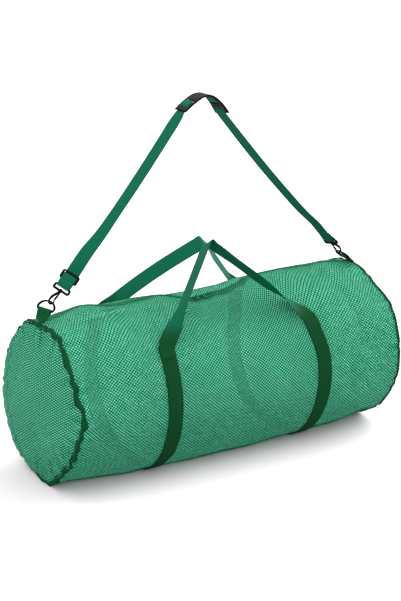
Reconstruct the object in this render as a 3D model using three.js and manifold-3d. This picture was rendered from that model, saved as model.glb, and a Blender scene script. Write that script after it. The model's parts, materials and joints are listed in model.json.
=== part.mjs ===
import * as THREE from 'three';
import Module from 'manifold-3d';
import { mergeVertices } from 'three/addons/utils/BufferGeometryUtils.js';

// Mesh duffel bag in millimetres: +X along the bag, -Y the front, +Z up, resting on z = 0.

// Bag body
const BAG_LENGTH = 868;
const HALF_LENGTH = BAG_LENGTH / 2;
const AXIS_HEIGHT = 178;
const SIDE_RADIUS = 189;
const NET_WALL = 1.6;
const SEAT_GAP = 0.3;
const SLIT_HALF = 6;
const AROUND = 36;
const END_REACH = 80;

// Webbing
const BAND_WIDTH = 38;
const BAND_THICK = 1.8;
const BAND_GAP = 0.4;
const FOOT_GAP = 0.7;
const TAB_LIFT = 2;
const STRAP_WIDTH = 32;
const STRAP_THICK = 1.4;
const BAND_LEFT_X = -196;
const BAND_RIGHT_X = 214;
const BAND_TOP_LINE = 5;
const FOOT_LINE = 6;
const LEAVE_LINE = 5;

// End binding and end panel
const BINDING_THICK = 2.4;
const BINDING_IN = 10;
const BINDING_OUT = 3;
const PANEL_LIP = 8;
const PANEL_BULGE = 16;

// Zip
const ZIP_END = HALF_LENGTH - 13;
const TAPE_SHARE = 0.4;
const TAPE_THICK = 1;
const TAPE_GAP = 2.1;
const COIL_HALF = 2.6;
const COIL_RISE = 0.5;
const SLIDER_X = -30;
const SLIDER_SIZE = { long: 12, wide: 9, tall: 3.2 };
const PULLER_SIZE = { long: 15, wide: 6, tall: 1.4 };

// Hardware
const WIRE_RADIUS = 2;
const BOSS_RADIUS = 4.6;
const BOSS_HALF = 2;
const BORE_RADIUS = 2.9;
const STEM_RADIUS = 1.9;
const HEAD_RADIUS = 3.4;
const SHOULDER_RADIUS = 4.2;
const HOOK_WIRE = 2.1;
const GATE_HALF = 1.2;
const EYE_HALF_WIDE = 18.6;
const EYE_BAR_Y = 5.5;
const BOSS_Y = 5.8;
const RING_SEAT_Y = 32.6;
const GATE_PIVOT = { u: 3, y: 9.6 };
const GATE_TIP = { u: 2.9, y: 26.8 };
const SLIDER_BAR = { wide: 40, slot: 34, tall: 21, thick: 3, centre: 4, opening: 5.6 };
const SLIDER_AT = 25;
const WRAP_RADIUS = 3.3;

// Shoulder pad
const PAD_WIDTH = 46;
const PAD_THICK = 3;
const PAD_SLOT_WIDTH = 36;
const PAD_STRAP_OFFSET = 2.9;
const PAD_SLOTS = [
  { from: 11, to: 18 },
  { from: 30, to: 37 },
];

// Top and belly radii along the bag, side on
const TOP_LINE = [
  { x: -434, r: 192 },
  { x: -343, r: 197 },
  { x: -303, r: 200 },
  { x: -240, r: 196 },
  { x: -140, r: 196 },
  { x: -60, r: 191 },
  { x: 0, r: 190 },
  { x: 80, r: 193 },
  { x: 150, r: 200 },
  { x: 228, r: 203 },
  { x: 330, r: 205 },
  { x: 434, r: 206 },
];
const BELLY_LINE = [
  { x: -434, r: 184 },
  { x: -360, r: 188 },
  { x: -250, r: 193 },
  { x: -60, r: 196 },
  { x: 60, r: 196 },
  { x: 193, r: 192 },
  { x: 300, r: 189 },
  { x: 434, r: 186 },
];

// Radius and shift along the bag of each end seam, round from the top through the front
const LEFT_SEAM = [
  { deg: 0, r: 186, shift: 0 },
  { deg: 23, r: 196, shift: 2 },
  { deg: 50, r: 187, shift: -4 },
  { deg: 66, r: 186, shift: -4 },
  { deg: 84, r: 194, shift: 3 },
  { deg: 110, r: 179, shift: -6 },
  { deg: 138, r: 172, shift: -13 },
  { deg: 172, r: 183, shift: -5 },
  { deg: 200, r: 184, shift: 0 },
  { deg: 225, r: 187, shift: -3 },
  { deg: 250, r: 191, shift: 2 },
  { deg: 285, r: 177, shift: 0 },
  { deg: 320, r: 177, shift: -3 },
  { deg: 344, r: 187, shift: 0 },
];
const RIGHT_SEAM = [
  { deg: 0, r: 198, shift: 0 },
  { deg: 30, r: 191, shift: -2 },
  { deg: 50, r: 196, shift: 3 },
  { deg: 90, r: 192, shift: 0 },
  { deg: 128, r: 180, shift: 2 },
  { deg: 152, r: 177, shift: 3 },
  { deg: 180, r: 184, shift: 0 },
  { deg: 225, r: 188, shift: 3 },
  { deg: 270, r: 190, shift: -2 },
  { deg: 310, r: 192, shift: 2 },
  { deg: 339, r: 204, shift: 0 },
];

// Folds of the net: where, how deep, half sizes, and how far the line leans per degree
const FOLDS = [
  { x: 92, deg: 22, depth: -6, halfX: 60, halfDeg: 9, lean: 0 },
  { x: -90, deg: 24, depth: -4, halfX: 50, halfDeg: 8, lean: 0 },
  { x: 330, deg: 40, depth: -5, halfX: 16, halfDeg: 26, lean: 0.4 },
  { x: -60, deg: 290, depth: -7, halfX: 20, halfDeg: 30, lean: 0.4 },
  { x: 340, deg: 270, depth: -6, halfX: 18, halfDeg: 28, lean: -0.3 },
];

// Height of the underside over the floor, where a band or binding passes beneath
const BAND_RISE = BAND_GAP + BAND_THICK;
const END_RISE = SEAT_GAP + BINDING_THICK;
const UNDERSIDE = [
  { x: -HALF_LENGTH - 20, rise: END_RISE },
  { x: -HALF_LENGTH + 20, rise: END_RISE },
  { x: -HALF_LENGTH + 45, rise: 0 },
  { x: BAND_LEFT_X - 44, rise: 0 },
  { x: BAND_LEFT_X - 21, rise: BAND_RISE },
  { x: BAND_LEFT_X + 21, rise: BAND_RISE },
  { x: BAND_LEFT_X + 44, rise: 0 },
  { x: BAND_RIGHT_X - 44, rise: 0 },
  { x: BAND_RIGHT_X - 21, rise: BAND_RISE },
  { x: BAND_RIGHT_X + 21, rise: BAND_RISE },
  { x: BAND_RIGHT_X + 44, rise: 0 },
  { x: HALF_LENGTH - 45, rise: 0 },
  { x: HALF_LENGTH - 20, rise: END_RISE },
  { x: HALF_LENGTH + 20, rise: END_RISE },
];

// Zip line: degrees from the top toward the front
const ZIP_LINE = [
  { x: -434, deg: -4 },
  { x: -304, deg: -15 },
  { x: -239, deg: -2 },
  { x: -160, deg: -5 },
  { x: -105, deg: -9 },
  { x: -55, deg: 8 },
  { x: 43, deg: 6 },
  { x: 99, deg: 0 },
  { x: 161, deg: -9 },
  { x: 230, deg: -15 },
  { x: 316, deg: -9 },
  { x: 375, deg: -14 },
  { x: 434, deg: -6 },
];

// Stations of the net along the bag, with lines on the edges of the bands
const STATIONS = [
  -434, -421, -400, -368, -340, -310, -275, -240, -217, -175, -152, -112, -72, -36, 4, 34, 64, 100, 140, 170,
  193, 235, 258, 296, 330, 362, 396, 421, 434,
];

// Strap route: the pad's middle line over the top, and the wires that the hooks pull on
const PAD_LINE = [
  { x: -62, z: 799 },
  { x: -36, z: 817 },
  { x: -10, z: 829 },
  { x: 8, z: 829 },
  { x: 30, z: 812 },
  { x: 52, z: 783 },
];
const STRAP_OPEN_LEFT = new THREE.Vector3(0.17, -0.974, -0.15);
const STRAP_SAG = { left: 6, right: 7 };
const LEFT_PULL = { x: -400.5, y: 0, z: 409 };
const RIGHT_PULL = { x: 394, y: 0, z: 410 };

// Peaks of the handles, how far their legs bow up, the shares of a leg that turn and twist, and the
// part of the twist made low down, the rest coming at the peak
const FRONT_HANDLE = {
  peak: { x: -4, y: -26, z: 492 },
  bow: 2,
  turn: 0.16,
  left: { from: 0.02, to: 0.46, over: 1, held: 1 },
  right: { from: 0.1, to: 0.6, over: 1, held: 1 },
};
const BACK_HANDLE = {
  peak: { x: 18, y: 32, z: 479 },
  bow: 8,
  turn: 0.08,
  left: { from: 0.06, to: 0.5, over: -1, held: 1 },
  right: { from: 0.1, to: 0.42, over: -1, held: 0.8 },
};
const PEAK_HALF = 9;
const PEAK_DROP = 6.5;

// The right handle foot draws the net along: how far, over what length, and from and to what heading
const FOOT_DRAW = { x: 214, along: -18, reach: 95, fromDeg: 46, toDeg: 78 };

const COLOURS = {
  net: { color: 0x2f9a6c, roughness: 0.75, metalness: 0 },
  binding: { color: 0x0e5636, roughness: 0.8, metalness: 0 },
  webbing: { color: 0x187a50, roughness: 0.7, metalness: 0 },
  band: { color: 0x125a30, roughness: 0.75, metalness: 0 },
  zip: { color: 0x1f7d55, roughness: 0.55, metalness: 0 },
  hardware: { color: 0x111213, roughness: 0.4, metalness: 0 },
  pad: { color: 0x1b1b1d, roughness: 0.65, metalness: 0 },
};

const wasm = await Module();
wasm.setup();

const bag = new THREE.Group();

/** Adds one named piece to a group, with a material of its own. */
function addPiece(group, name, geometry, colours) {
  const mesh = new THREE.Mesh(geometry, new THREE.MeshStandardMaterial(colours));
  mesh.name = name;
  group.add(mesh);
}

const radians = THREE.MathUtils.degToRad;

function vector({ x, y = 0, z }) {
  return new THREE.Vector3(x, y, z);
}

/** Straight-line value of a table's column at x. */
function alongTable(table, x, column) {
  const last = table.length - 1;
  if (x <= table[0].x) {
    return table[0][column];
  }
  if (x >= table[last].x) {
    return table[last][column];
  }
  const next = table.findIndex((row) => row.x > x);
  const from = table[next - 1];
  const to = table[next];
  return THREE.MathUtils.lerp(from[column], to[column], (x - from.x) / (to.x - from.x));
}

/** Smooth value of a table's column at x, easing through each row. */
function easeAlong(table, x, column) {
  const last = table.length - 1;
  if (x <= table[0].x) {
    return table[0][column];
  }
  if (x >= table[last].x) {
    return table[last][column];
  }
  const next = table.findIndex((row) => row.x > x);
  const from = table[next - 1];
  const to = table[next];
  const ease = THREE.MathUtils.smoothstep(x, from.x, to.x);
  return THREE.MathUtils.lerp(from[column], to[column], ease);
}

/** Smooth value of a seam table's column round the full turn. */
function roundTable(table, deg, column) {
  const turn = ((deg % 360) + 360) % 360;
  let next = table.findIndex((row) => row.deg > turn);
  if (next < 0) {
    next = table.length;
  }
  const from = table[next - 1];
  const to = next < table.length ? table[next] : { ...table[0], deg: 360 };
  const ease = THREE.MathUtils.smoothstep(turn, from.deg, to.deg);
  return THREE.MathUtils.lerp(from[column], to[column], ease);
}

/** Signed distance in degrees from one heading to another. */
function turnBetween(deg, other) {
  return ((((deg - other) % 360) + 540) % 360) - 180;
}

/** How strongly an end seam shapes the net at x. */
function endPull(x, end) {
  const away = Math.abs(end * HALF_LENGTH - x) / END_REACH;
  return Math.exp(-away * away);
}

/** Outer radius of the net at x, deg round from the top through the front. */
function netRadius(x, deg) {
  const up = Math.cos(radians(deg));
  const top = THREE.MathUtils.smoothstep(up, 0.2, 0.9);
  const belly = THREE.MathUtils.smoothstep(-up, 0.2, 0.85);
  let radius = SIDE_RADIUS;
  radius += top * (easeAlong(TOP_LINE, x, 'r') - SIDE_RADIUS);
  radius += belly * (easeAlong(BELLY_LINE, x, 'r') - SIDE_RADIUS);
  radius += endPull(x, -1) * (roundTable(LEFT_SEAM, deg, 'r') - radius);
  radius += endPull(x, 1) * (roundTable(RIGHT_SEAM, deg, 'r') - radius);
  for (const fold of FOLDS) {
    const turn = turnBetween(deg, fold.deg);
    const across = (x - fold.x - fold.lean * turn) / fold.halfX;
    const along = turn / fold.halfDeg;
    radius += fold.depth * Math.exp(-across * across - along * along);
  }
  return radius;
}

/** Shift of the net along the bag under the right handle's feet. */
function footDraw(x, deg) {
  const away = (x - FOOT_DRAW.x) / FOOT_DRAW.reach;
  const round = Math.abs(turnBetween(deg, 0));
  const share = 1 - THREE.MathUtils.smoothstep(round, FOOT_DRAW.fromDeg, FOOT_DRAW.toDeg);
  return FOOT_DRAW.along * share * Math.exp(-away * away);
}

/** Point on the net at x, deg and a distance outward from its outer face. */
function netPoint(x, deg, out) {
  const radius = netRadius(x, deg) + out;
  const shift =
    endPull(x, -1) * roundTable(LEFT_SEAM, deg, 'shift') + endPull(x, 1) * roundTable(RIGHT_SEAM, deg, 'shift');
  const low = alongTable(UNDERSIDE, x, 'rise') - out;
  return new THREE.Vector3(
    x + shift + footDraw(x, deg),
    -radius * Math.sin(radians(deg)),
    Math.max(AXIS_HEIGHT + radius * Math.cos(radians(deg)), low),
  );
}

const SLIT_DEG = THREE.MathUtils.radToDeg(SLIT_HALF / SIDE_RADIUS);

/** Heading of line j of the net at x: the lines near the top follow the zip. */
function netLine(x, j) {
  const deg = SLIT_DEG + (j / AROUND) * (360 - 2 * SLIT_DEG);
  const away = Math.abs(turnBetween(deg, 0));
  return deg + easeAlong(ZIP_LINE, x, 'deg') * (1 - THREE.MathUtils.smoothstep(away, SLIT_DEG, 44));
}

/** Signed volume of a triangle list, to tell which way its faces look. */
function signedVolume(points, faces) {
  let volume = 0;
  for (let i = 0; i < faces.length; i += 3) {
    const a = points[faces[i]];
    const b = points[faces[i + 1]];
    const c = points[faces[i + 2]];
    volume += a.dot(new THREE.Vector3().crossVectors(b, c));
  }
  return volume;
}

/** Closed solid from points and faces, turned so that its faces look outward. */
function solid(points, faces) {
  if (signedVolume(points, faces) < 0) {
    for (let i = 0; i < faces.length; i += 3) {
      const keep = faces[i];
      faces[i] = faces[i + 1];
      faces[i + 1] = keep;
    }
  }
  const geometry = new THREE.BufferGeometry();
  geometry.setAttribute('position', new THREE.Float32BufferAttribute(points.flatMap((p) => p.toArray()), 3));
  geometry.setIndex(faces);
  geometry.computeVertexNormals();
  return geometry;
}

/** Faces of the walls between loops of points, each loop with the same count. */
function wallFaces(loops, closed, backFrom = loops[0].length) {
  const count = loops[0].length;
  const spans = closed ? loops.length : loops.length - 1;
  const faces = [];
  for (let i = 0; i < spans; i += 1) {
    const near = i * count;
    const far = ((i + 1) % loops.length) * count;
    for (let j = 0; j < count; j += 1) {
      const k = (j + 1) % count;
      if (j < backFrom) {
        faces.push(near + j, far + j, far + k, near + j, far + k, near + k);
      } else {
        faces.push(near + j, far + j, near + k, far + j, far + k, near + k);
      }
    }
  }
  return faces;
}

/** Solid through loops whose first half runs out along one face and whose second half runs back. */
function loft(loops, closed = false) {
  const count = loops[0].length;
  const faces = wallFaces(loops, closed, count / 2);
  if (!closed) {
    const end = (loops.length - 1) * count;
    for (let k = 0; k < count / 2 - 1; k += 1) {
      const mate = count - 1 - k;
      faces.push(k, k + 1, mate - 1, k, mate - 1, mate);
      faces.push(end + k, end + mate - 1, end + k + 1, end + k, end + mate, end + mate - 1);
    }
  }
  return solid(loops.flat(), faces);
}

/** Solid through rings that start and finish at two centre points. */
function domedLoft(rings, firstCentre, lastCentre) {
  const count = rings[0].length;
  const faces = wallFaces(rings, false);
  const first = rings.length * count;
  const end = (rings.length - 1) * count;
  for (let j = 0; j < count; j += 1) {
    const k = (j + 1) % count;
    faces.push(first, j, k);
    faces.push(first + 1, end + k, end + j);
  }
  return solid([...rings.flat(), firstCentre, lastCentre], faces);
}

/** Six-sided webbing section at a point, with its width and the face it looks out of. */
function webbingLoop(point, across, face, width, thick) {
  const edge = across.clone().multiplyScalar(width / 2);
  const inner = across.clone().multiplyScalar(width / 2 - thick / 2);
  const rise = face.clone().multiplyScalar(thick / 2);
  return [
    point.clone().sub(edge),
    point.clone().sub(inner).add(rise),
    point.clone().add(inner).add(rise),
    point.clone().add(edge),
    point.clone().add(inner).sub(rise),
    point.clone().sub(inner).sub(rise),
  ];
}

/** Webbing along stations of points and width directions. */
function webbing(stations, width, thick) {
  const loops = stations.map(({ point, across }, i) => {
    const before = stations[Math.max(i - 1, 0)].point;
    const after = stations[Math.min(i + 1, stations.length - 1)].point;
    const along = after.clone().sub(before).normalize();
    const side = across.clone().addScaledVector(along, -across.dot(along)).normalize();
    const face = new THREE.Vector3().crossVectors(side, along);
    return webbingLoop(point, side, face, width, thick);
  });
  return loft(loops);
}

/** Round bar along points in the plane of two axes, its section a polygon of a given radius. */
function bar(points, normal, radius, sides, closed) {
  const loops = points.map((point, i) => {
    const last = points.length - 1;
    const before = points[i > 0 ? i - 1 : closed ? last : 0];
    const after = points[i < last ? i + 1 : closed ? 0 : last];
    const along = after.clone().sub(before).normalize();
    const side = new THREE.Vector3().crossVectors(along, normal).normalize();
    return Array.from({ length: sides }, (_, k) => {
      const angle = ((k + 0.5) / sides) * 2 * Math.PI;
      return point
        .clone()
        .addScaledVector(side, radius * Math.cos(angle))
        .addScaledVector(normal, radius * Math.sin(angle));
    });
  });
  return loft(loops, closed);
}

function toManifold(geometry) {
  const plain = geometry.clone();
  plain.deleteAttribute('normal');
  plain.deleteAttribute('uv');
  const welded = mergeVertices(plain, 1e-4);
  return new wasm.Manifold(
    new wasm.Mesh({
      numProp: 3,
      vertProperties: new Float32Array(welded.attributes.position.array),
      triVerts: new Uint32Array(welded.index.array),
    }),
  );
}

function fromManifold(result) {
  const mesh = result.getMesh();
  const geometry = new THREE.BufferGeometry();
  geometry.setAttribute('position', new THREE.BufferAttribute(mesh.vertProperties, 3));
  geometry.setIndex(new THREE.BufferAttribute(mesh.triVerts, 1));
  geometry.computeVertexNormals();
  return geometry;
}

/** Joins solids into one and cuts others out of it. */
function joinAndCut(joined, cuts = []) {
  let result = joined.map(toManifold).reduce((whole, next) => whole.add(next));
  for (const cut of cuts) {
    result = result.subtract(toManifold(cut));
  }
  return fromManifold(result);
}

// Net body, open along the zip and at both ends
function buildBody() {
  const loops = STATIONS.map((x) => {
    const lines = Array.from({ length: AROUND + 1 }, (_, j) => netLine(x, j));
    const outer = lines.map((deg) => netPoint(x, deg, 0));
    const inner = lines.map((deg) => netPoint(x, deg, -NET_WALL));
    return [...outer, ...inner.reverse()];
  });
  addPiece(bag, 'body_panel', loft(loops), COLOURS.net);
}

/** Headings of the net's lines at an end, closed over the zip. */
function endLines(x) {
  return Array.from({ length: AROUND + 1 }, (_, j) => netLine(x, j));
}

// Domed end panel with a lip turned in under the net
function buildEndPanel(name, end) {
  const face = end * HALF_LENGTH;
  const lines = endLines(face);
  const rim = (out) => lines.map((deg) => netPoint(face, deg, out));
  const centre = new THREE.Vector3(face, 0, AXIS_HEIGHT);
  const row = (share, out, lift) =>
    rim(out).map((p) => {
      const point = centre.clone().lerp(p, share);
      point.x += end * PANEL_BULGE * lift;
      return point;
    });
  const lip = (out) =>
    rim(out).map((p) => {
      const point = p.clone();
      point.x -= end * PANEL_LIP;
      return point;
    });
  const outside = -NET_WALL - SEAT_GAP;
  const inside = outside - NET_WALL;
  const drop = (rows) =>
    rows.map((points) =>
      points.map((p) => {
        const point = p.clone();
        point.x -= end * NET_WALL;
        return point;
      }),
    );
  const shares = [0.62];
  const outer = shares.map((share) => row(share, outside, 1 - share * share));
  outer.push(row(1, outside, 0));
  const inner = drop(shares.map((share) => row(share, inside, 1 - share * share)));
  inner.push(...drop([row(1, inside, 0)]));
  const rings = [...outer, lip(outside), lip(inside), ...inner.reverse()];
  const tip = centre.clone();
  tip.x += end * PANEL_BULGE;
  const back = tip.clone();
  back.x -= end * NET_WALL;
  addPiece(bag, name, domedLoft(rings, tip, back), COLOURS.net);
}

// Binding tape round an end seam
function buildBinding(name, end) {
  const face = end * HALF_LENGTH;
  const lines = endLines(face);
  const loops = lines.map((deg) => {
    const low = netPoint(face, deg, SEAT_GAP);
    const high = netPoint(face, deg, SEAT_GAP + BINDING_THICK);
    const lowIn = netPoint(face - end * 13, deg, SEAT_GAP);
    const highIn = netPoint(face - end * 13, deg, SEAT_GAP + BINDING_THICK);
    const reach = BINDING_IN / 13;
    const out = new THREE.Vector3(end * BINDING_OUT, 0, 0);
    return [
      low.clone().add(out),
      low.clone().lerp(lowIn, reach),
      high.clone().lerp(highIn, reach),
      high.clone().add(out),
    ];
  });
  addPiece(bag, name, loft(loops, true), COLOURS.binding);
}

/** Point by the slit: a share of the way from its edge to the net's next line, on the front or back side. */
function slitPoint(x, side, share, out) {
  const edge = side > 0 ? 0 : AROUND;
  const from = netPoint(x, netLine(x, edge), out);
  const to = netPoint(x, netLine(x, edge + side), out);
  return from.lerp(to, share);
}

// Zip tape under the slit, and the coil lying in it
function buildZip() {
  const stations = STATIONS.filter((x) => Math.abs(x) <= ZIP_END);
  const under = -NET_WALL - TAPE_GAP;
  const face = (x, out) => [
    slitPoint(x, -1, TAPE_SHARE, out),
    slitPoint(x, -1, 0, out),
    slitPoint(x, 1, 0, out),
    slitPoint(x, 1, TAPE_SHARE, out),
  ];
  const tape = stations.map((x) => [...face(x, under), ...face(x, under - TAPE_THICK).reverse()]);
  addPiece(bag, 'zip_tape', loft(tape), COLOURS.webbing);
  const coil = stations.map((x) => {
    const rest = (out, share) => {
      const back = slitPoint(x, -1, 0, out);
      return back.lerp(slitPoint(x, 1, 0, out), share);
    };
    const low = 0.5 - COIL_HALF / (2 * SLIT_HALF);
    return [
      rest(under + SEAT_GAP, low),
      rest(under + SEAT_GAP, 1 - low),
      rest(COIL_RISE, 0.9 - low * 0.8),
      rest(COIL_RISE, 0.1 + low * 0.8),
    ];
  });
  addPiece(bag, 'zip_coil', loft(coil), COLOURS.zip);
}

/** Rounded plate standing on the XY plane, with its length along X. */
function plate(long, wide, tall, corner, holes = []) {
  const shape = new THREE.Shape();
  const x = long / 2;
  const y = wide / 2;
  shape.moveTo(-x + corner, -y);
  shape.lineTo(x - corner, -y);
  shape.quadraticCurveTo(x, -y, x, -y + corner);
  shape.lineTo(x, y - corner);
  shape.quadraticCurveTo(x, y, x - corner, y);
  shape.lineTo(-x + corner, y);
  shape.quadraticCurveTo(-x, y, -x, y - corner);
  shape.lineTo(-x, -y + corner);
  shape.quadraticCurveTo(-x, -y, -x + corner, -y);
  for (const { at, w, h } of holes) {
    const hole = new THREE.Path();
    hole.moveTo(-w / 2, at - h / 2);
    hole.lineTo(-w / 2, at + h / 2);
    hole.lineTo(w / 2, at + h / 2);
    hole.lineTo(w / 2, at - h / 2);
    hole.closePath();
    shape.holes.push(hole);
  }
  return new THREE.ExtrudeGeometry(shape, { depth: tall, bevelEnabled: false, curveSegments: 3 });
}

/** Group whose local axes are given directions. */
function placed(origin, xAxis, yAxis) {
  const zAxis = new THREE.Vector3().crossVectors(xAxis, yAxis).normalize();
  const group = new THREE.Group();
  group.quaternion.setFromRotationMatrix(new THREE.Matrix4().makeBasis(xAxis, yAxis, zAxis));
  group.position.copy(origin);
  bag.add(group);
  return group;
}

// Two zip sliders meeting, each with a short puller lying across it
function buildSliders() {
  for (const [side, end] of [['left', -1], ['right', 1]]) {
    const x = SLIDER_X + end * (SLIDER_SIZE.long / 2 + SEAT_GAP);
    const deg = easeAlong(ZIP_LINE, x, 'deg');
    const seat = netPoint(x, deg, COIL_RISE + SEAT_GAP);
    const ahead = netPoint(x + 4, easeAlong(ZIP_LINE, x + 4, 'deg'), COIL_RISE + SEAT_GAP);
    const along = ahead.sub(seat).normalize();
    const radial = new THREE.Vector3(0, -Math.sin(radians(deg)), Math.cos(radians(deg)));
    const across = new THREE.Vector3().crossVectors(radial, along).normalize();
    const group = placed(seat, along, across);
    const slider = plate(SLIDER_SIZE.long, SLIDER_SIZE.wide, SLIDER_SIZE.tall, 2);
    addPiece(group, `zip_slider_${side}`, slider, COLOURS.zip);
    const puller = plate(PULLER_SIZE.wide, PULLER_SIZE.long, PULLER_SIZE.tall, 2);
    puller.translate(end * 1.5, -4, SLIDER_SIZE.tall + SEAT_GAP);
    addPiece(group, `zip_puller_${side}`, puller, COLOURS.zip);
  }
}

// Webbing band round the front, underside and back
function buildBand(name, centre) {
  const loops = [];
  for (let j = BAND_TOP_LINE; j <= AROUND - BAND_TOP_LINE; j += 1) {
    const low = centre - BAND_WIDTH / 2;
    const high = centre + BAND_WIDTH / 2;
    const deg = netLine(centre, j);
    loops.push([
      netPoint(low, deg, BAND_GAP),
      netPoint(high, deg, BAND_GAP),
      netPoint(high, deg, BAND_GAP + BAND_THICK),
      netPoint(low, deg, BAND_GAP + BAND_THICK),
    ]);
  }
  addPiece(bag, name, loft(loops), COLOURS.band);
}

/** Share of the way across for a handle leg that starts along the bag's girth and then heads for the peak. */
function legShare(t, turn) {
  const whole = 1 - turn / 2;
  return t < turn ? (t * t) / (2 * turn) / whole : (t - turn / 2) / whole;
}

/** Stations of one handle leg, from its foot on a band up to the peak. */
function legStations(footX, handle, twisting, front, steps) {
  const { peak, bow, turn } = handle;
  const seat = BAND_GAP + BAND_THICK + FOOT_GAP + BAND_THICK / 2;
  const mirror = (p) => (front ? p : new THREE.Vector3(p.x, -p.y, p.z));
  const foot = netPoint(footX, netLine(footX, FOOT_LINE), seat);
  const leave = netPoint(footX, netLine(footX, LEAVE_LINE), seat);
  const rise = new THREE.Vector3(0, (front ? peak.y : -peak.y) - leave.y, peak.z - leave.z).normalize();
  const outward = new THREE.Vector3(0, -rise.z, rise.y);
  const sideways = new THREE.Vector3(1, 0, 0);
  const toward = Math.sign(peak.x - leave.x);
  const stop = {
    x: peak.x - toward * PEAK_HALF,
    y: (front ? peak.y : -peak.y) - PEAK_DROP * rise.y,
    z: peak.z - PEAK_DROP * rise.z,
  };
  const stations = [{ point: mirror(foot), across: sideways }];
  for (let i = 0; i <= steps; i += 1) {
    const t = i / steps;
    const point = new THREE.Vector3(
      THREE.MathUtils.lerp(leave.x, stop.x, legShare(t, turn)),
      THREE.MathUtils.lerp(leave.y, stop.y, t),
      THREE.MathUtils.lerp(leave.z, stop.z, t),
    );
    point.addScaledVector(outward, bow * Math.sin(Math.PI * t));
    const { from, to, over, held } = twisting;
    const early = held * THREE.MathUtils.smoothstep(t, from, to);
    const twist = over * (Math.PI / 2) * (early + (1 - held) * THREE.MathUtils.smoothstep(t, 0.75, 1));
    const across = sideways
      .clone()
      .multiplyScalar(toward * Math.cos(twist))
      .addScaledVector(outward, Math.sin(twist));
    stations.push({ point: mirror(point), across: mirror(across) });
  }
  stations[0].across = mirror(sideways.clone().multiplyScalar(toward));
  return stations;
}

// Carry handle sewn over the tops of both bands and folded at its peak
function buildHandle(name, handle, front) {
  const { peak } = handle;
  const left = legStations(BAND_LEFT_X, handle, handle.left, front, 10);
  const right = legStations(BAND_RIGHT_X, handle, handle.right, front, 10);
  const flip = Math.sign(left[left.length - 1].across.dot(right[right.length - 1].across));
  right.forEach((station) => station.across.multiplyScalar(flip));
  const across = left[left.length - 1].across;
  const crest = vector(peak);
  const shoulder = (leg) => {
    const away = leg[leg.length - 1].point.clone().sub(crest);
    return crest.clone().add(new THREE.Vector3(away.x * 0.52, away.y * 0.27, away.z * 0.27));
  };
  const top = [
    { point: shoulder(left), across },
    { point: crest, across },
    { point: shoulder(right), across },
  ];
  const stations = [...left, ...top, ...right.reverse()];
  addPiece(bag, name, webbing(stations, BAND_WIDTH, BAND_THICK), COLOURS.webbing);
}

/** Direction of a heading made square to another. */
function squareTo(direction, axis) {
  return direction.clone().addScaledVector(axis, -direction.dot(axis)).normalize();
}

// D-ring, its bar along local X and its bow along local Y
const RING_OUTLINE = [
  { x: -18.6, y: 0 },
  { x: -6, y: 0 },
  { x: 6, y: 0 },
  { x: 18.6, y: 0 },
  { x: 20.2, y: 5 },
  { x: 16.8, y: 14 },
  { x: 8, y: 20.4 },
  { x: 0, y: 21.4 },
  { x: -8, y: 20.4 },
  { x: -16.8, y: 14 },
  { x: -20.2, y: 5 },
];

function buildRing(name, origin, along, up) {
  const curve = new THREE.CatmullRomCurve3(
    RING_OUTLINE.map(({ x, y }) => new THREE.Vector3(x, y, 0)),
    true,
    'centripetal',
  );
  const points = curve.getPoints(24).slice(0, -1);
  const group = placed(origin, along, up);
  addPiece(group, name, bar(points, new THREE.Vector3(0, 0, 1), WIRE_RADIUS, 6, true), COLOURS.hardware);
}

// Webbing tab from the end seam up round the bar of a D-ring
function buildTab(name, base, ringOrigin, baseAcross, ringAcross) {
  const climb = ringOrigin.clone().sub(base);
  const reach = climb.length();
  const up = climb.normalize();
  const wrap = WIRE_RADIUS + 0.45 + STRAP_THICK / 2;
  const route = [
    { s: 0, h: -1.2 },
    { s: reach * 0.45, h: -1.3 },
    { s: reach * 0.75, h: -2 },
  ];
  for (let k = 0; k <= 6; k += 1) {
    const angle = -Math.PI / 2 + (k / 6) * Math.PI;
    route.push({ s: reach + wrap * Math.cos(angle), h: wrap * Math.sin(angle) });
  }
  route.push({ s: reach * 0.75, h: 2 }, { s: reach * 0.45, h: 1.3 }, { s: 0, h: 1.2 });
  const stations = route.map(({ s, h }) => {
    const blend = THREE.MathUtils.smoothstep(s, 0, reach * 0.8);
    const across = baseAcross.clone().lerp(ringAcross, blend).normalize();
    const lean = squareTo(up, across);
    const face = new THREE.Vector3().crossVectors(across, lean);
    const middle = base.clone().addScaledVector(up, Math.min(s, reach));
    const point = middle.addScaledVector(lean, Math.max(s - reach, 0)).addScaledVector(face, h);
    return { point, across };
  });
  addPiece(bag, name, webbing(stations, STRAP_WIDTH, STRAP_THICK), COLOURS.binding);
}

/** Cylinder along local Y between two heights. */
function post(radius, from, to, x = 0) {
  const geometry = new THREE.CylinderGeometry(radius, radius, to - from, 14);
  geometry.translate(x, (from + to) / 2, 0);
  return geometry;
}

// Eye of a snap hook: a rounded frame for the strap, with a bored boss for the swivel
function buildHookEye(name, group) {
  const corner = 3;
  const points = [];
  for (const [cx, cy, from] of [
    [EYE_HALF_WIDE - corner, EYE_BAR_Y - corner, 0],
    [-EYE_HALF_WIDE + corner, EYE_BAR_Y - corner, 90],
    [-EYE_HALF_WIDE + corner, -EYE_BAR_Y + corner, 180],
    [EYE_HALF_WIDE - corner, -EYE_BAR_Y + corner, 270],
  ]) {
    for (let k = 0; k <= 2; k += 1) {
      const angle = radians(from + k * 45);
      points.push(new THREE.Vector3(cx + corner * Math.cos(angle), cy + corner * Math.sin(angle), 0));
    }
  }
  const frame = bar(points, new THREE.Vector3(0, 0, 1), WIRE_RADIUS, 6, true);
  const boss = post(BOSS_RADIUS, BOSS_Y - BOSS_HALF, BOSS_Y + BOSS_HALF);
  const bore = post(BORE_RADIUS, BOSS_Y - 6, BOSS_Y + 6);
  addPiece(group, name, joinAndCut([frame, boss], [bore]), COLOURS.hardware);
}

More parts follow.
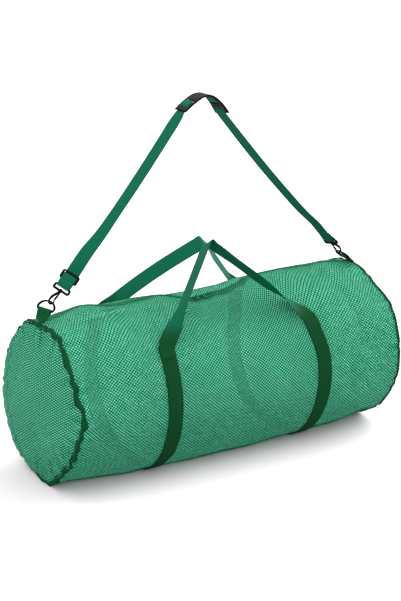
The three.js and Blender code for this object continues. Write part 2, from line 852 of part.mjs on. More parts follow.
// Hook on its swivel stem: origin at the middle of the boss, the nose along +Y, the spine on -X
const HOOK_LINE = [
  { x: -0.6, y: 6 },
  { x: -3.4, y: 11 },
  { x: -6.2, y: 18 },
  { x: -7.5, y: 25 },
  { x: -7, y: 31 },
  { x: -4.6, y: 35.4 },
  { x: -0.4, y: 37 },
  { x: 3.9, y: 35.3 },
  { x: 6.3, y: 31 },
  { x: 6.5, y: 25.4 },
];

function buildHookBody(name, group, tilt) {
  const slack = (radius) => SEAT_GAP + radius * Math.tan(tilt);
  const shoulder = BOSS_HALF + slack(SHOULDER_RADIUS);
  const head = -BOSS_HALF - slack(HEAD_RADIUS);
  const curve = new THREE.CatmullRomCurve3(HOOK_LINE.map(({ x, y }) => new THREE.Vector3(x, y, 0)));
  const spine = bar(curve.getPoints(16), new THREE.Vector3(0, 0, 1), HOOK_WIRE, 6, false);
  const pieces = [
    post(STEM_RADIUS, head - 1, shoulder + 1),
    post(HEAD_RADIUS, head - 1.8, head),
    post(SHOULDER_RADIUS, shoulder, GATE_PIVOT.y - GATE_HALF - SEAT_GAP),
    spine,
  ];
  const pocket = post(GATE_HALF + SEAT_GAP, -4, 4);
  pocket.rotateX(Math.PI / 2);
  pocket.translate(GATE_PIVOT.u, GATE_PIVOT.y, 0);
  addPiece(group, name, joinAndCut(pieces, [pocket]), COLOURS.hardware);
}

// Sprung gate from its pivot under the shoulder to the inside of the nose, with a thumb nub
function buildGate(name, group) {
  const eye = post(GATE_HALF, -1.8, 1.8);
  eye.rotateX(Math.PI / 2);
  eye.translate(GATE_PIVOT.u, GATE_PIVOT.y, 0);
  const line = [
    new THREE.Vector3(GATE_PIVOT.u, GATE_PIVOT.y, 0),
    new THREE.Vector3(GATE_PIVOT.u + 0.2, (GATE_PIVOT.y + GATE_TIP.y) / 2, 0),
    new THREE.Vector3(GATE_TIP.u, GATE_TIP.y, 0),
  ];
  const lever = bar(line, new THREE.Vector3(0, 0, 1), GATE_HALF, 6, false);
  const nub = new THREE.BoxGeometry(3, 2.4, 2.4);
  nub.translate(GATE_TIP.u + 2.2, GATE_TIP.y - 4.4, 0);
  addPiece(group, name, joinAndCut([eye, lever, nub]), COLOURS.hardware);
}

/** Directions of a snap hook: along it, across its eye and across its hook. */
function hookFrame(along, across) {
  return { along, across: squareTo(across, along) };
}

const FRONTWARD = new THREE.Vector3(0, -1, 0);
const leftAim = new THREE.Vector3(-0.76, 0, -0.65).normalize();
const leftHook = hookFrame(leftAim, new THREE.Vector3(0.648, 0.08, -0.758));
const strapRise = vector(PAD_LINE[0]).sub(new THREE.Vector3(-368, 0, 438)).normalize();
const leftEyeAcross = squareTo(new THREE.Vector3(0.612, -0.667, -0.424), strapRise);
const leftEyeAlong = squareTo(leftHook.along, leftEyeAcross);
const leftTilt = leftHook.along.angleTo(leftEyeAlong);
const rightAim = new THREE.Vector3(0.674, 0, -0.739).normalize();
const rightHook = hookFrame(rightAim, new THREE.Vector3(-0.739, 0, -0.674));
const rightEyeAcross = squareTo(new THREE.Vector3(0.19, -0.966, 0.17), rightHook.along);

/** Middle of the boss of a hook whose nose pulls on a wire. */
function bossOf(pull, hook) {
  return vector(pull).addScaledVector(hook.along, -RING_SEAT_Y).addScaledVector(hook.across, 0.4);
}

const leftBoss = bossOf(LEFT_PULL, leftHook);
const rightBoss = bossOf(RIGHT_PULL, rightHook);
const leftEye = leftBoss.clone().addScaledVector(leftEyeAlong, -BOSS_Y);
const rightEye = rightBoss.clone().addScaledVector(rightHook.along, -BOSS_Y);

function buildHook(side, eye, eyeAcross, eyeAlong, boss, hook, tilt) {
  buildHookEye(`hook_eye_${side}`, placed(eye, eyeAcross, eyeAlong));
  const group = placed(boss, hook.across, hook.along);
  buildHookBody(`hook_body_${side}`, group, tilt);
  buildGate(`hook_gate_${side}`, group);
}

/** Middle line of the pad, as points, tangents and outward faces at even spacing. */
function padFrames(count) {
  const curve = new THREE.CatmullRomCurve3(PAD_LINE.map(vector));
  const length = curve.getLength();
  return Array.from({ length: count + 1 }, (_, i) => {
    const along = curve.getTangentAt(i / count);
    return {
      s: (i / count) * length,
      rest: length - (i / count) * length,
      point: curve.getPointAt(i / count),
      face: new THREE.Vector3(-along.z, 0, along.x),
    };
  });
}

/** Distance of the strap from the pad's middle line: below it, and over the bar between the slots. */
function strapOffset(fromEnd) {
  const [first, second] = PAD_SLOTS;
  const rise = THREE.MathUtils.smoothstep(fromEnd, first.from, first.to);
  const fall = THREE.MathUtils.smoothstep(fromEnd, second.from, second.to);
  return PAD_STRAP_OFFSET * (2 * (rise - fall) - 1);
}

// Pad with two slots near each end for the strap
function buildPad() {
  const frames = padFrames(22);
  const stations = frames.map(({ point }) => ({ point, across: FRONTWARD }));
  const curve = new THREE.CatmullRomCurve3(PAD_LINE.map(vector));
  const length = curve.getLength();
  const cuts = [];
  for (const { from, to } of PAD_SLOTS) {
    for (const span of [[from, to], [length - to, length - from]]) {
      const ends = span.map((s) => ({ point: curve.getPointAt(s / length), across: FRONTWARD }));
      const loops = ends.map(({ point, across }) => {
        const along = ends[1].point.clone().sub(ends[0].point).normalize();
        const face = new THREE.Vector3().crossVectors(across, along);
        return webbingLoop(point, across, face, PAD_SLOT_WIDTH, 14);
      });
      cuts.push(loft(loops));
    }
  }
  const body = webbing(stations, PAD_WIDTH, PAD_THICK);
  addPiece(bag, 'shoulder_pad', joinAndCut([body], cuts), COLOURS.pad);
}

// Shoulder strap from the sewn end at the left slider, round both eyes and through the pad
function buildStrap() {
  const frames = padFrames(40);
  const stations = [];
  const leftBar = leftEye.clone().addScaledVector(leftEyeAlong, -EYE_BAR_Y);
  const first = frames[0].point.clone().addScaledVector(frames[0].face, -PAD_STRAP_OFFSET);
  const up = first.clone().sub(leftBar).normalize();
  const across = squareTo(leftEyeAcross, up);
  const front = new THREE.Vector3().crossVectors(across, up);
  const mid = SLIDER_AT;
  const leftRoute = [
    { s: mid - 7, h: -2.7 },
    { s: mid + 1, h: -2.7 },
    { s: mid + 3.2, h: -2 },
    { s: mid + 4, h: 0 },
    { s: mid + 3.2, h: 2 },
    { s: mid + 1, h: 2.8 },
    { s: mid - 6, h: 2.9 },
    { s: mid - 11, h: 3.4 },
    { s: 13, h: 5.6 },
    { s: 6, h: 5 },
    { s: 0, h: WRAP_RADIUS },
    { s: -0.7 * WRAP_RADIUS, h: 0.7 * WRAP_RADIUS },
    { s: -WRAP_RADIUS, h: 0 },
    { s: -0.7 * WRAP_RADIUS, h: -0.7 * WRAP_RADIUS },
    { s: 0, h: -WRAP_RADIUS },
    { s: 9, h: -4.4 },
    { s: mid - 11, h: -5.4 },
    { s: mid + 2, h: -5.4 },
    { s: mid + 14, h: -5 },
    { s: mid + 34, h: -2.8 },
    { s: mid + 60, h: -1 },
  ];
  const run = first.distanceTo(leftBar);
  const open = squareTo(STRAP_OPEN_LEFT, up);
  const untwist = (s) => {
    const loop = across.clone().lerp(open, THREE.MathUtils.smoothstep(s, mid + 6, run * 0.4));
    return squareTo(loop.lerp(FRONTWARD, THREE.MathUtils.smoothstep(s, run * 0.9, run)), up);
  };
  for (const { s, h } of leftRoute) {
    const side = untwist(s);
    const face = s > mid + 6 ? new THREE.Vector3().crossVectors(side, up) : front;
    stations.push({ point: leftBar.clone().addScaledVector(up, s).addScaledVector(face, h), across: side });
  }
  const sag = (rise, deep, share) => new THREE.Vector3(rise.z, 0, -rise.x)
    .multiplyScalar(deep * Math.sin(Math.PI * share));
  for (const share of [0.3, 0.42, 0.56, 0.72, 0.86, 0.95]) {
    const point = leftBar.clone().addScaledVector(up, run * share).add(sag(up, STRAP_SAG.left, share));
    stations.push({ point, across: untwist(run * share) });
  }
  for (const { s, rest, point, face } of frames) {
    const offset = strapOffset(Math.min(s, rest));
    stations.push({ point: point.clone().addScaledVector(face, offset), across: FRONTWARD });
  }
  const rightBar = rightEye.clone().addScaledVector(rightHook.along, -EYE_BAR_Y);
  const last = stations[stations.length - 1].point;
  const climb = last.clone().sub(rightBar);
  const rightRun = climb.length();
  const rightUp = climb.normalize();
  const rightSide = squareTo(rightEyeAcross, rightUp);
  const rightFace = new THREE.Vector3().crossVectors(rightUp, rightSide).negate();
  for (const share of [0.94, 0.82, 0.62, 0.42, 0.24]) {
    const turn = THREE.MathUtils.smoothstep(1 - share, 0, 0.06);
    const side = squareTo(FRONTWARD.clone().lerp(rightSide, turn), rightUp);
    const point = rightBar.clone().addScaledVector(rightUp, rightRun * share);
    stations.push({ point: point.add(sag(rightUp, -STRAP_SAG.right, share)), across: side });
  }
  const rightRoute = [
    { s: 60, h: -0.3 },
    { s: 40, h: -0.9 },
    { s: 24, h: -1.4 },
    { s: 10, h: -2.3 },
    { s: 0, h: -WRAP_RADIUS },
    { s: -0.7 * WRAP_RADIUS, h: -0.7 * WRAP_RADIUS },
    { s: -WRAP_RADIUS, h: 0 },
    { s: -0.7 * WRAP_RADIUS, h: 0.7 * WRAP_RADIUS },
    { s: 0, h: WRAP_RADIUS },
    { s: 9, h: 2.2 },
    { s: 16, h: 1.2 },
    { s: 26, h: 0.8 },
  ];
  for (const { s, h } of rightRoute) {
    const point = rightBar.clone().addScaledVector(rightUp, s).addScaledVector(rightFace, -h);
    stations.push({ point, across: rightSide });
  }
  addPiece(bag, 'shoulder_strap', webbing(stations, STRAP_WIDTH, STRAP_THICK), COLOURS.webbing);
  const { wide, slot, tall, thick, centre, opening } = SLIDER_BAR;
  const holes = [-1, 1].map((side) => ({ at: (side * (centre + opening)) / 2, w: slot, h: opening }));
  const frame = plate(wide, tall, thick, 3, holes);
  frame.translate(0, 0, -thick / 2);
  const group = placed(leftBar.clone().addScaledVector(up, mid), across, up);
  addPiece(group, 'strap_slider', frame, COLOURS.hardware);
}

buildBody();
buildEndPanel('end_panel_left', -1);
buildEndPanel('end_panel_right', 1);
buildBinding('end_binding_left', -1);
buildBinding('end_binding_right', 1);
buildZip();
buildSliders();
buildBand('band_left', BAND_LEFT_X);
buildBand('band_right', BAND_RIGHT_X);
buildHandle('handle_front', FRONT_HANDLE, true);
buildHandle('handle_back', BACK_HANDLE, false);

// D-rings on their tabs, pulled up by the hooks
const leftRingAlong = new THREE.Vector3(0.51, -0.84, -0.16).normalize();
const leftRingUp = squareTo(new THREE.Vector3(0.74, 0, 0.67), leftRingAlong);
const leftRing = vector(LEFT_PULL).addScaledVector(leftRingAlong, -4).addScaledVector(leftRingUp, -21.2);
const rightRingAlong = FRONTWARD;
const rightRingUp = new THREE.Vector3(-0.737, 0, 0.676).normalize();
const rightRing = vector(RIGHT_PULL).addScaledVector(rightRingUp, -21.4);
buildRing('d_ring_left', leftRing, leftRingAlong, leftRingUp);
buildRing('d_ring_right', rightRing, rightRingAlong, rightRingUp);
const tabSeat = (end) => netPoint(end * (HALF_LENGTH - 4), 0, SEAT_GAP + BINDING_THICK + TAB_LIFT);
buildTab('tab_left', tabSeat(-1), leftRing, FRONTWARD, leftRingAlong);
buildTab('tab_right', tabSeat(1), rightRing, FRONTWARD, rightRingAlong);

buildHook('left', leftEye, leftEyeAcross, leftEyeAlong, leftBoss, leftHook, leftTilt);
buildHook('right', rightEye, rightEyeAcross, rightHook.along, rightBoss, rightHook, 0);
buildStrap();
buildPad();

export default bag;
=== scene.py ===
"""Looks of a mesh duffel bag lying on its side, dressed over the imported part."""

import json
import logging
import math
from dataclasses import dataclass, field
from enum import Enum
from typing import Any, Callable, Iterable, Sequence, Union

import bpy
import numpy as np
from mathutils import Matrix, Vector

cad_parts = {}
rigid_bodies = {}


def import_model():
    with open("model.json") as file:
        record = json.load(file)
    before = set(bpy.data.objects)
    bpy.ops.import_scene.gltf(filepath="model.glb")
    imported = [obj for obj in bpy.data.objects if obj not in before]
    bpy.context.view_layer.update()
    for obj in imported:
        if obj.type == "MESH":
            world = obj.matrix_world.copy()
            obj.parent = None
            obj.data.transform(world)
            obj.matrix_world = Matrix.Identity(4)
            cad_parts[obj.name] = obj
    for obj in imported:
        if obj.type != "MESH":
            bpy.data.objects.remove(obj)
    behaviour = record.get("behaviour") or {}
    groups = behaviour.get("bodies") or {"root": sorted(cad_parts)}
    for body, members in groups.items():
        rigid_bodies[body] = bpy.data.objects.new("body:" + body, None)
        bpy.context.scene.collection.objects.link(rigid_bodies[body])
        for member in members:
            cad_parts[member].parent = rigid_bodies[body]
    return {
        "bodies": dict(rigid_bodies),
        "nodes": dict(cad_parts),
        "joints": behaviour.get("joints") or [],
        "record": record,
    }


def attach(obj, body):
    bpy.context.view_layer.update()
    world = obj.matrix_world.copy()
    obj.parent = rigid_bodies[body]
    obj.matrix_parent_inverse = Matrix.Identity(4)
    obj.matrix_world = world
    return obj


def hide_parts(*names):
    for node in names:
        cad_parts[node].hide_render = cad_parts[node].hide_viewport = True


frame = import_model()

LOG = logging.getLogger("duffel")
MM = 0.001
Array = np.ndarray
Amount = Union[float, Array]
Number = Union[float, "Value"]
Colour = tuple[float, float, float]
Piece = bpy.types.Object
Material = bpy.types.Material


class Body(Enum):
    """Rigid bodies that the pieces ride on."""

    ROOT = "root"
    GATE_LEFT = "gate_left"
    GATE_RIGHT = "gate_right"


class End(Enum):
    """The two ends of the bag, with the sign of each along X."""

    LEFT = -1
    RIGHT = 1

    @property
    def word(self) -> str:
        """Name of the end as used in node names."""
        return self.name.lower()


class Side(Enum):
    """Front and back of the bag."""

    FRONT = "front"
    BACK = "back"


# Small geometry


def smoothstep(value: Amount, low: float, high: float) -> Array:
    """Ease from 0 at low to 1 at high.

    Args:
        value: Number or array to ease.
        low: Where the ease starts.
        high: Where the ease ends.

    Returns:
        The eased share.
    """
    share = np.clip((np.asarray(value, float) - low) / (high - low), 0.0, 1.0)
    return share * share * (3.0 - 2.0 * share)


def unit(vectors: Union[Array, Sequence[float]]) -> Array:
    """Vectors scaled to length one."""
    vectors = np.asarray(vectors, float)
    return vectors / np.linalg.norm(vectors, axis=-1, keepdims=True)


def square_to(direction: Union[Array, Sequence[float]], axis: Array) -> Array:
    """Direction with its share along a unit axis taken out, at length one."""
    direction = np.asarray(direction, float)
    return unit(direction - axis * (direction * axis).sum(-1, keepdims=True))


def turn_between(deg: Array, other: float) -> Array:
    """Signed turn in degrees from one heading to another."""
    return (np.asarray(deg, float) - other + 540.0) % 360.0 - 180.0


def smooth_path(rows: Array, step: float, closed: bool = False) -> Array:
    """Smooth curve through rows of numbers whose first three are a place.

    Args:
        rows: One row per station.
        step: Spacing of the new rows, in millimetres.
        closed: Whether the last row joins the first.

    Returns:
        The rows of the curve.
    """
    rows = np.asarray(rows, float)
    if closed:
        rows = np.vstack([rows[-1:], rows, rows[:2]])
    gaps = np.maximum(np.linalg.norm(np.diff(rows[:, :3], axis=0), axis=1), 1e-6)
    at = np.concatenate([[0.0], np.cumsum(gaps)])
    slope = np.gradient(rows, at, axis=0)
    parts = []
    first, last = (1, len(rows) - 2) if closed else (0, len(rows) - 1)
    for i in range(first, last):
        count = max(2, math.ceil(gaps[i] / step))
        t = np.arange(count)[:, None] / count
        parts.append(
            rows[i] * (2 * t**3 - 3 * t**2 + 1)
            + slope[i] * gaps[i] * (t**3 - 2 * t**2 + t)
            + rows[i + 1] * (3 * t**2 - 2 * t**3)
            + slope[i + 1] * gaps[i] * (t**3 - t**2)
        )
    if not closed:
        parts.append(rows[-1:])
    return np.vstack(parts)


def distances(path: Array) -> Array:
    """Distance along a path at each of its points."""
    return np.concatenate([[0.0], np.cumsum(np.linalg.norm(np.diff(path, axis=0), axis=1))])


def rounded_frame(half_wide: float, half_tall: float, corner: float) -> Array:
    """Closed outline of a frame with rounded corners, in its own plane.

    Args:
        half_wide: Half width.
        half_tall: Half height.
        corner: Radius of the corners.

    Returns:
        Points, seven to a corner.
    """
    points = []
    for sx, sy, start in ((1, 1, 0), (-1, 1, 90), (-1, -1, 180), (1, -1, 270)):
        for k in range(7):
            a = math.radians(start + k * 15)
            x = sx * (half_wide - corner) + corner * math.cos(a)
            points.append((x, sy * (half_tall - corner) + corner * math.sin(a), 0.0))
    return np.array(points)


def tube_faces(index: Array) -> Array:
    """Quads between the rings of a tube, from point numbers with one ring to a row."""
    turned = np.roll(index, -1, axis=1)
    return np.stack([index[:-1], index[1:], turned[1:], turned[:-1]], axis=-1).reshape(-1, 4)


@dataclass(frozen=True)
class Table:
    """Short table of values over places that rise."""

    at: tuple[float, ...]
    value: tuple[float, ...]

    def straight(self, x: Array) -> Array:
        """Straight-line value at x."""
        return np.interp(x, self.at, self.value)

    def eased(self, x: Array) -> Array:
        """Value at x, easing through each row.

        Args:
            x: Places in the table.

        Returns:
            The values.
        """
        at, value = np.array(self.at), np.array(self.value)
        x = np.clip(x, at[0], at[-1])
        i = np.clip(np.searchsorted(at, x, side="right") - 1, 0, len(at) - 2)
        share = (x - at[i]) / (at[i + 1] - at[i])
        return value[i] + (value[i + 1] - value[i]) * share * share * (3 - 2 * share)

    def turned(self, deg: Array) -> Array:
        """Value at a heading, eased round the full turn."""
        closed = Table(self.at + (360.0,), self.value + (self.value[0],))
        return closed.eased(np.asarray(deg, float) % 360.0)


@dataclass(frozen=True)
class Fold:
    """One fold of the net: where, how deep, half sizes and lean per degree."""

    x: float
    deg: float
    depth: float
    half_x: float
    half_deg: float
    lean: float


@dataclass(frozen=True)
class Place:
    """Local axes set in the bag."""

    origin: Array
    x_axis: Array
    y_axis: Array

    def world(self, points: Union[Array, Sequence]) -> Array:
        """Local points as points of the bag.

        Args:
            points: Points along the local axes.

        Returns:
            Points of the bag.
        """
        points = np.asarray(points, float)
        axes = np.stack([self.x_axis, self.y_axis, np.cross(self.x_axis, self.y_axis)])
        return self.origin + points @ axes

    def heading(self, vector: Sequence[float]) -> Array:
        """Local direction as a direction of the bag."""
        return self.world(vector) - self.origin


LEFT_SEAM_DEG = (0, 23, 50, 66, 84, 110, 138, 172, 200, 225, 250, 285, 320, 344)
RIGHT_SEAM_DEG = (0, 30, 50, 90, 128, 152, 180, 225, 270, 310, 339)


@dataclass
class BagShape:
    """Surface of the stuffed net: headings run from the top through the front."""

    half_length: float = 434.0
    axis_height: float = 178.0
    side_radius: float = 189.0
    end_reach: float = 80.0
    slit_half: float = 6.0
    band_left_x: float = -196.0
    band_right_x: float = 214.0
    pucker_reach: float = 24.0
    pucker_rise: float = 1.5
    top_line: Table = Table(
        (-434, -343, -303, -240, -140, -60, 0, 80, 150, 228, 330, 434),
        (192, 197, 200, 196, 196, 191, 190, 193, 200, 203, 205, 206),
    )
    belly_line: Table = Table(
        (-434, -360, -250, -60, 60, 193, 300, 434),
        (184, 188, 193, 196, 196, 192, 189, 186),
    )
    zip_line: Table = Table(
        (-434, -304, -239, -160, -105, -55, 43, 99, 161, 230, 316, 375, 434),
        (-4, -15, -2, -5, -9, 8, 6, 0, -9, -15, -9, -14, -6),
    )
    left_radius: Table = Table(
        LEFT_SEAM_DEG,
        (186, 196, 187, 186, 194, 179, 172, 183, 184, 187, 191, 177, 177, 187),
    )
    left_shift: Table = Table(
        LEFT_SEAM_DEG,
        (0, 2, -4, -4, 3, -6, -13, -5, 0, -3, 2, 0, -3, 0),
    )
    right_radius: Table = Table(
        RIGHT_SEAM_DEG,
        (198, 191, 196, 192, 180, 177, 184, 188, 190, 192, 204),
    )
    right_shift: Table = Table(
        RIGHT_SEAM_DEG,
        (0, -2, 3, 0, 2, 3, 0, 3, -2, 2, 0),
    )
    left_tuck: Table = Table((0, 176, 198, 225, 260, 305, 335, 356), (0, 0, 9, 12, 12, 12, 9, 0))
    tuck_reach: float = 35.0
    folds: tuple[Fold, ...] = (
        Fold(92, 22, -6, 60, 9, 0),
        Fold(-90, 24, -4, 50, 8, 0),
        Fold(330, 40, -5, 16, 26, 0.4),
        Fold(-60, 290, -7, 20, 30, 0.4),
        Fold(340, 270, -6, 18, 28, -0.3),
    )
    creases: tuple[Fold, ...] = (
        Fold(-335, 13, 4.0, 40, 3.0, 3.0),
        Fold(-255, 11, 5.0, 38, 3.0, -4.0),
        Fold(-170, 12, 4.0, 42, 3.0, 3.0),
        Fold(-372, 70, -1.5, 14, 30, 0.2),
        Fold(-268, 60, 1.5, 20, 26, 0.3),
        Fold(-120, 66, 2.0, 30, 24, -0.2),
        Fold(30, 60, 2.0, 26, 26, 0.55),
        Fold(120, 34, -2.0, 16, 14, 1.4),
        Fold(262, 48, 2.5, 12, 22, -0.6),
        Fold(300, 96, -2.0, 12, 28, 0.3),
        Fold(-150, 140, -2.5, 40, 8, 0),
        Fold(90, 138, -2.5, 60, 7, 0),
        Fold(-300, 132, -2.5, 40, 8, 0.5),
        Fold(-210, 284, -3.0, 14, 30, 0.4),
        Fold(150, 300, -3.0, 14, 26, -0.5),
        Fold(250, 262, 2.5, 12, 24, 0.3),
        Fold(-330, 258, -2.5, 12, 28, -0.4),
    )

    @property
    def slit_deg(self) -> float:
        """Half width of the zip's slit as a heading."""
        return math.degrees(self.slit_half / self.side_radius)

    def end_pull(self, x: Array, end: End) -> Array:
        """How strongly an end seam shapes the net at x."""
        return np.exp(-(((end.value * self.half_length - x) / self.end_reach) ** 2))

    def ripples(self, x: Array, deg: Array) -> Array:
        """Small relief of the cloth: puckers at the seams, soft waves and a drooping top.

        Args:
            x: Places along the bag.
            deg: Headings round it.

        Returns:
            Rise over the plain surface, in millimetres.
        """
        a = np.radians(deg)
        rise = 0.6 * np.sin(x / 31 + 3 * a) * np.sin(2 * a + 0.6) + 0.4 * np.sin(x / 23 - 5 * a)
        rise += 0.3 * np.sin(x / 12.5 + 7 * a + 1.3) * np.cos(x / 41 - a)
        for end, phase, share in ((End.LEFT, 0.4, 1.0), (End.RIGHT, 2.1, 0.4)):
            away = np.abs(end.value * self.half_length - x)
            near = np.exp(-((away / self.pucker_reach) ** 2))
            far = np.exp(-((away / (2.6 * self.pucker_reach)) ** 2))
            fine = np.sin(29 * a + phase) + 0.8 * np.sin(41 * a + 2 * phase) + 0.7 * np.sin(53 * a)
            rise += share * self.pucker_rise * near * fine
            rise += 0.6 * share * far * np.sin(13 * a + 3 * np.sin(2 * a + phase))
        droop = 0.7 * np.exp(-((turn_between(deg, 12) / 13) ** 2))
        return rise + droop * (1.4 * np.sin(x / 13 + 0.7) + 1.1 * np.sin(x / 7.7 + 1.9 * np.sin(x / 50)))

    def radius(self, x: Array, deg: Array) -> Array:
        """Outer radius of the net.

        Args:
            x: Places along the bag.
            deg: Headings round it.

        Returns:
            Radii in millimetres.
        """
        up = np.cos(np.radians(deg))
        radius = np.full(np.broadcast(x, deg).shape, self.side_radius)
        radius = radius + smoothstep(up, 0.2, 0.9) * (self.top_line.eased(x) - self.side_radius)
        radius = radius + smoothstep(-up, 0.2, 0.85) * (self.belly_line.eased(x) - self.side_radius)
        radius = radius + self.end_pull(x, End.LEFT) * (self.left_radius.turned(deg) - radius)
        radius = radius + self.end_pull(x, End.RIGHT) * (self.right_radius.turned(deg) - radius)
        for fold in self.folds + self.creases:
            turn = turn_between(deg, fold.deg)
            across = (x - fold.x - fold.lean * turn) / fold.half_x
            radius = radius + fold.depth * np.exp(-(across**2) - (turn / fold.half_deg) ** 2)
        return radius + self.ripples(x, deg)

    def underside(self, x: Array) -> Array:
        """Height over the floor where a band or binding passes beneath.

        Args:
            x: Places along the bag.

        Returns:
            Heights in millimetres.
        """
        rise = np.zeros_like(np.asarray(x, float))
        for centre in (self.band_left_x, self.band_right_x):
            rise = np.maximum(rise, 2.2 * (1 - smoothstep(np.abs(x - centre), 21, 44)))
        return np.maximum(rise, 2.7 * smoothstep(np.abs(x), self.half_length - 45, self.half_length - 20))

    def foot_draw(self, x: Array, deg: Array) -> Array:
        """Shift of the net along the bag under the right handle's feet."""
        share = 1 - smoothstep(np.abs(turn_between(deg, 0)), 46, 78)
        return -18 * share * np.exp(-(((x - self.band_right_x) / 95) ** 2))

    def point(self, x: Amount, deg: Amount, out: Amount = 0.0) -> Array:
        """Points on the net.

        Args:
            x: Places along the bag.
            deg: Headings round it.
            out: Distance outward from the outer face.

        Returns:
            Points in millimetres, in a last axis of three.
        """
        x, deg, out = np.broadcast_arrays(*(np.asarray(v, float) for v in (x, deg, out)))
        radius = self.radius(x, deg) + out
        shift = self.end_pull(x, End.LEFT) * self.left_shift.turned(deg)
        shift = shift + self.end_pull(x, End.RIGHT) * self.right_shift.turned(deg)
        shift = shift + np.exp(-(((x + self.half_length) / self.tuck_reach) ** 2)) * self.left_tuck.turned(deg)
        low = self.underside(x) - out
        high = self.axis_height + radius * np.cos(np.radians(deg))
        return np.stack(
            [
                x + shift + self.foot_draw(x, deg),
                -radius * np.sin(np.radians(deg)),
                np.maximum(high, np.maximum(low, 0.2)),
            ],
            axis=-1,
        )

    def line(self, x: Array, share: Array) -> Array:
        """Heading of a line of the net, from the zip's front edge round to its back edge.

        Args:
            x: Places along the bag.
            share: Share of the way round.

        Returns:
            Headings in degrees: the lines near the top follow the zip.
        """
        deg = self.slit_deg + np.asarray(share, float) * (360 - 2 * self.slit_deg)
        away = np.abs(turn_between(deg, 0))
        return deg + self.zip_line.eased(x) * (1 - smoothstep(away, self.slit_deg, 44))


@dataclass
class Draft:
    """Points and faces of one piece while it is gathered, in millimetres."""

    points: list[Array] = field(default_factory=list)
    uvs: list[Array] = field(default_factory=list)
    tones: list[Array] = field(default_factory=list)
    faces: list[Array] = field(default_factory=list)
    count: int = 0

    def add(self, points: Array, faces: Iterable[Array], uv: Array, tone: Amount = 0.0) -> None:
        """Gathers one lump of mesh.

        Args:
            points: Its points.
            faces: Arrays of triangles or quads over those points.
            uv: Flat place of each point on the cloth, in metres.
            tone: Shade mark of each point.
        """
        points = np.asarray(points, float).reshape(-1, 3)
        self.points.append(points)
        self.uvs.append(np.asarray(uv, float).reshape(-1, 2))
        self.tones.append(np.broadcast_to(np.asarray(tone, float).ravel(), (len(points),)))
        self.faces.extend(np.asarray(f, int) + self.count for f in faces if len(f))
        self.count += len(points)

    def build(self, name: str, material: Material, crease_deg: float = 60.0) -> Piece:
        """Makes the piece.

        Args:
            name: Name of the new object.
            material: Its finish.
            crease_deg: Angle past which an edge stays sharp.

        Returns:
            The object, in the scene.
        """
        points, uv, tone = np.vstack(self.points), np.vstack(self.uvs), np.concatenate(self.tones)
        used = np.zeros(len(points), bool)
        for faces in self.faces:
            used[faces] = True
        renumber = np.cumsum(used) - 1
        corners = np.concatenate([renumber[f].ravel() for f in self.faces])
        sizes = np.concatenate([np.full(len(f), f.shape[1]) for f in self.faces])
        mesh = bpy.data.meshes.new(name)
        mesh.vertices.add(int(used.sum()))
        mesh.vertices.foreach_set("co", (points[used] * MM).ravel())
        mesh.loops.add(len(corners))
        mesh.loops.foreach_set("vertex_index", corners.astype(np.int32))
        mesh.polygons.add(len(sizes))
        mesh.polygons.foreach_set("loop_start", (np.cumsum(sizes) - sizes).astype(np.int32))
        uv = uv[used]
        span = max(float(np.ptp(uv, axis=0).max()), 1e-6)
        for layer, places in (("Cloth", uv), ("OFBake", (uv - uv.min(0)) / span)):
            mesh.uv_layers.new(name=layer).data.foreach_set("uv", places[corners].ravel())
        mesh.attributes.new("tone", "FLOAT", "POINT").data.foreach_set("value", tone[used])
        mesh.update(calc_edges=True)
        mesh.validate()
        mesh.shade_smooth()
        mesh.set_sharp_from_angle(angle=math.radians(crease_deg))
        mesh.materials.append(material)
        piece = bpy.data.objects.new(name, mesh)
        bpy.context.scene.collection.objects.link(piece)
        LOG.info("%s: %d faces", name, len(sizes))
        return piece


def slab(
    draft: Draft,
    grid: Array,
    normals: Array,
    half: Amount,
    uv: Array,
    keep: Union[Array, None] = None,
    wrap: bool = False,
    tone: Amount = 0.0,
) -> None:
    """Thickens a grid of points into a closed solid.

    Args:
        draft: Where the solid goes.
        grid: Points of the middle face, rows by columns.
        normals: Outward direction at each point.
        half: Half thickness, one number or one per point.
        uv: Flat place of each point, in metres.
        keep: Cells that are cloth; all if left out.
        wrap: Whether the last row joins the first.
        tone: Shade mark of each point.
    """
    rows, columns = grid.shape[:2]
    half = np.broadcast_to(np.asarray(half, float), (rows, columns))[..., None]
    points = np.vstack([(grid + normals * half).reshape(-1, 3), (grid - normals * half).reshape(-1, 3)])
    index = np.arange(rows * columns).reshape(rows, columns)
    if wrap:
        index = np.vstack([index, index[:1]])
    cells = (index.shape[0] - 1, columns - 1)
    keep = np.ones(cells, bool) if keep is None else keep
    quads = np.stack([index[:-1, :-1], index[1:, :-1], index[1:, 1:], index[:-1, 1:]], axis=-1)
    step = np.cross(grid[1, 0] - grid[0, 0], grid[0, 1] - grid[0, 0])
    if float(step @ normals[0, 0]) < 0:
        quads = quads[..., ::-1]
    top = quads[keep]
    below = rows * columns
    faces = [top, top[:, ::-1] + below]
    edges = np.concatenate([np.stack([top[:, k], top[:, (k + 1) % 4]], axis=1) for k in range(4)])
    key = edges[:, 0] * (2 * below) + edges[:, 1]
    back = edges[:, 1] * (2 * below) + edges[:, 0]
    rim = edges[~np.isin(key, back)]
    faces.append(np.stack([rim[:, 1], rim[:, 0], rim[:, 0] + below, rim[:, 1] + below], axis=1))
    flat = np.asarray(uv, float).reshape(-1, 2)
    marks = np.broadcast_to(np.asarray(tone, float), (rows, columns)).ravel()
    draft.add(points, faces, np.vstack([flat, flat]), np.concatenate([marks, marks]))


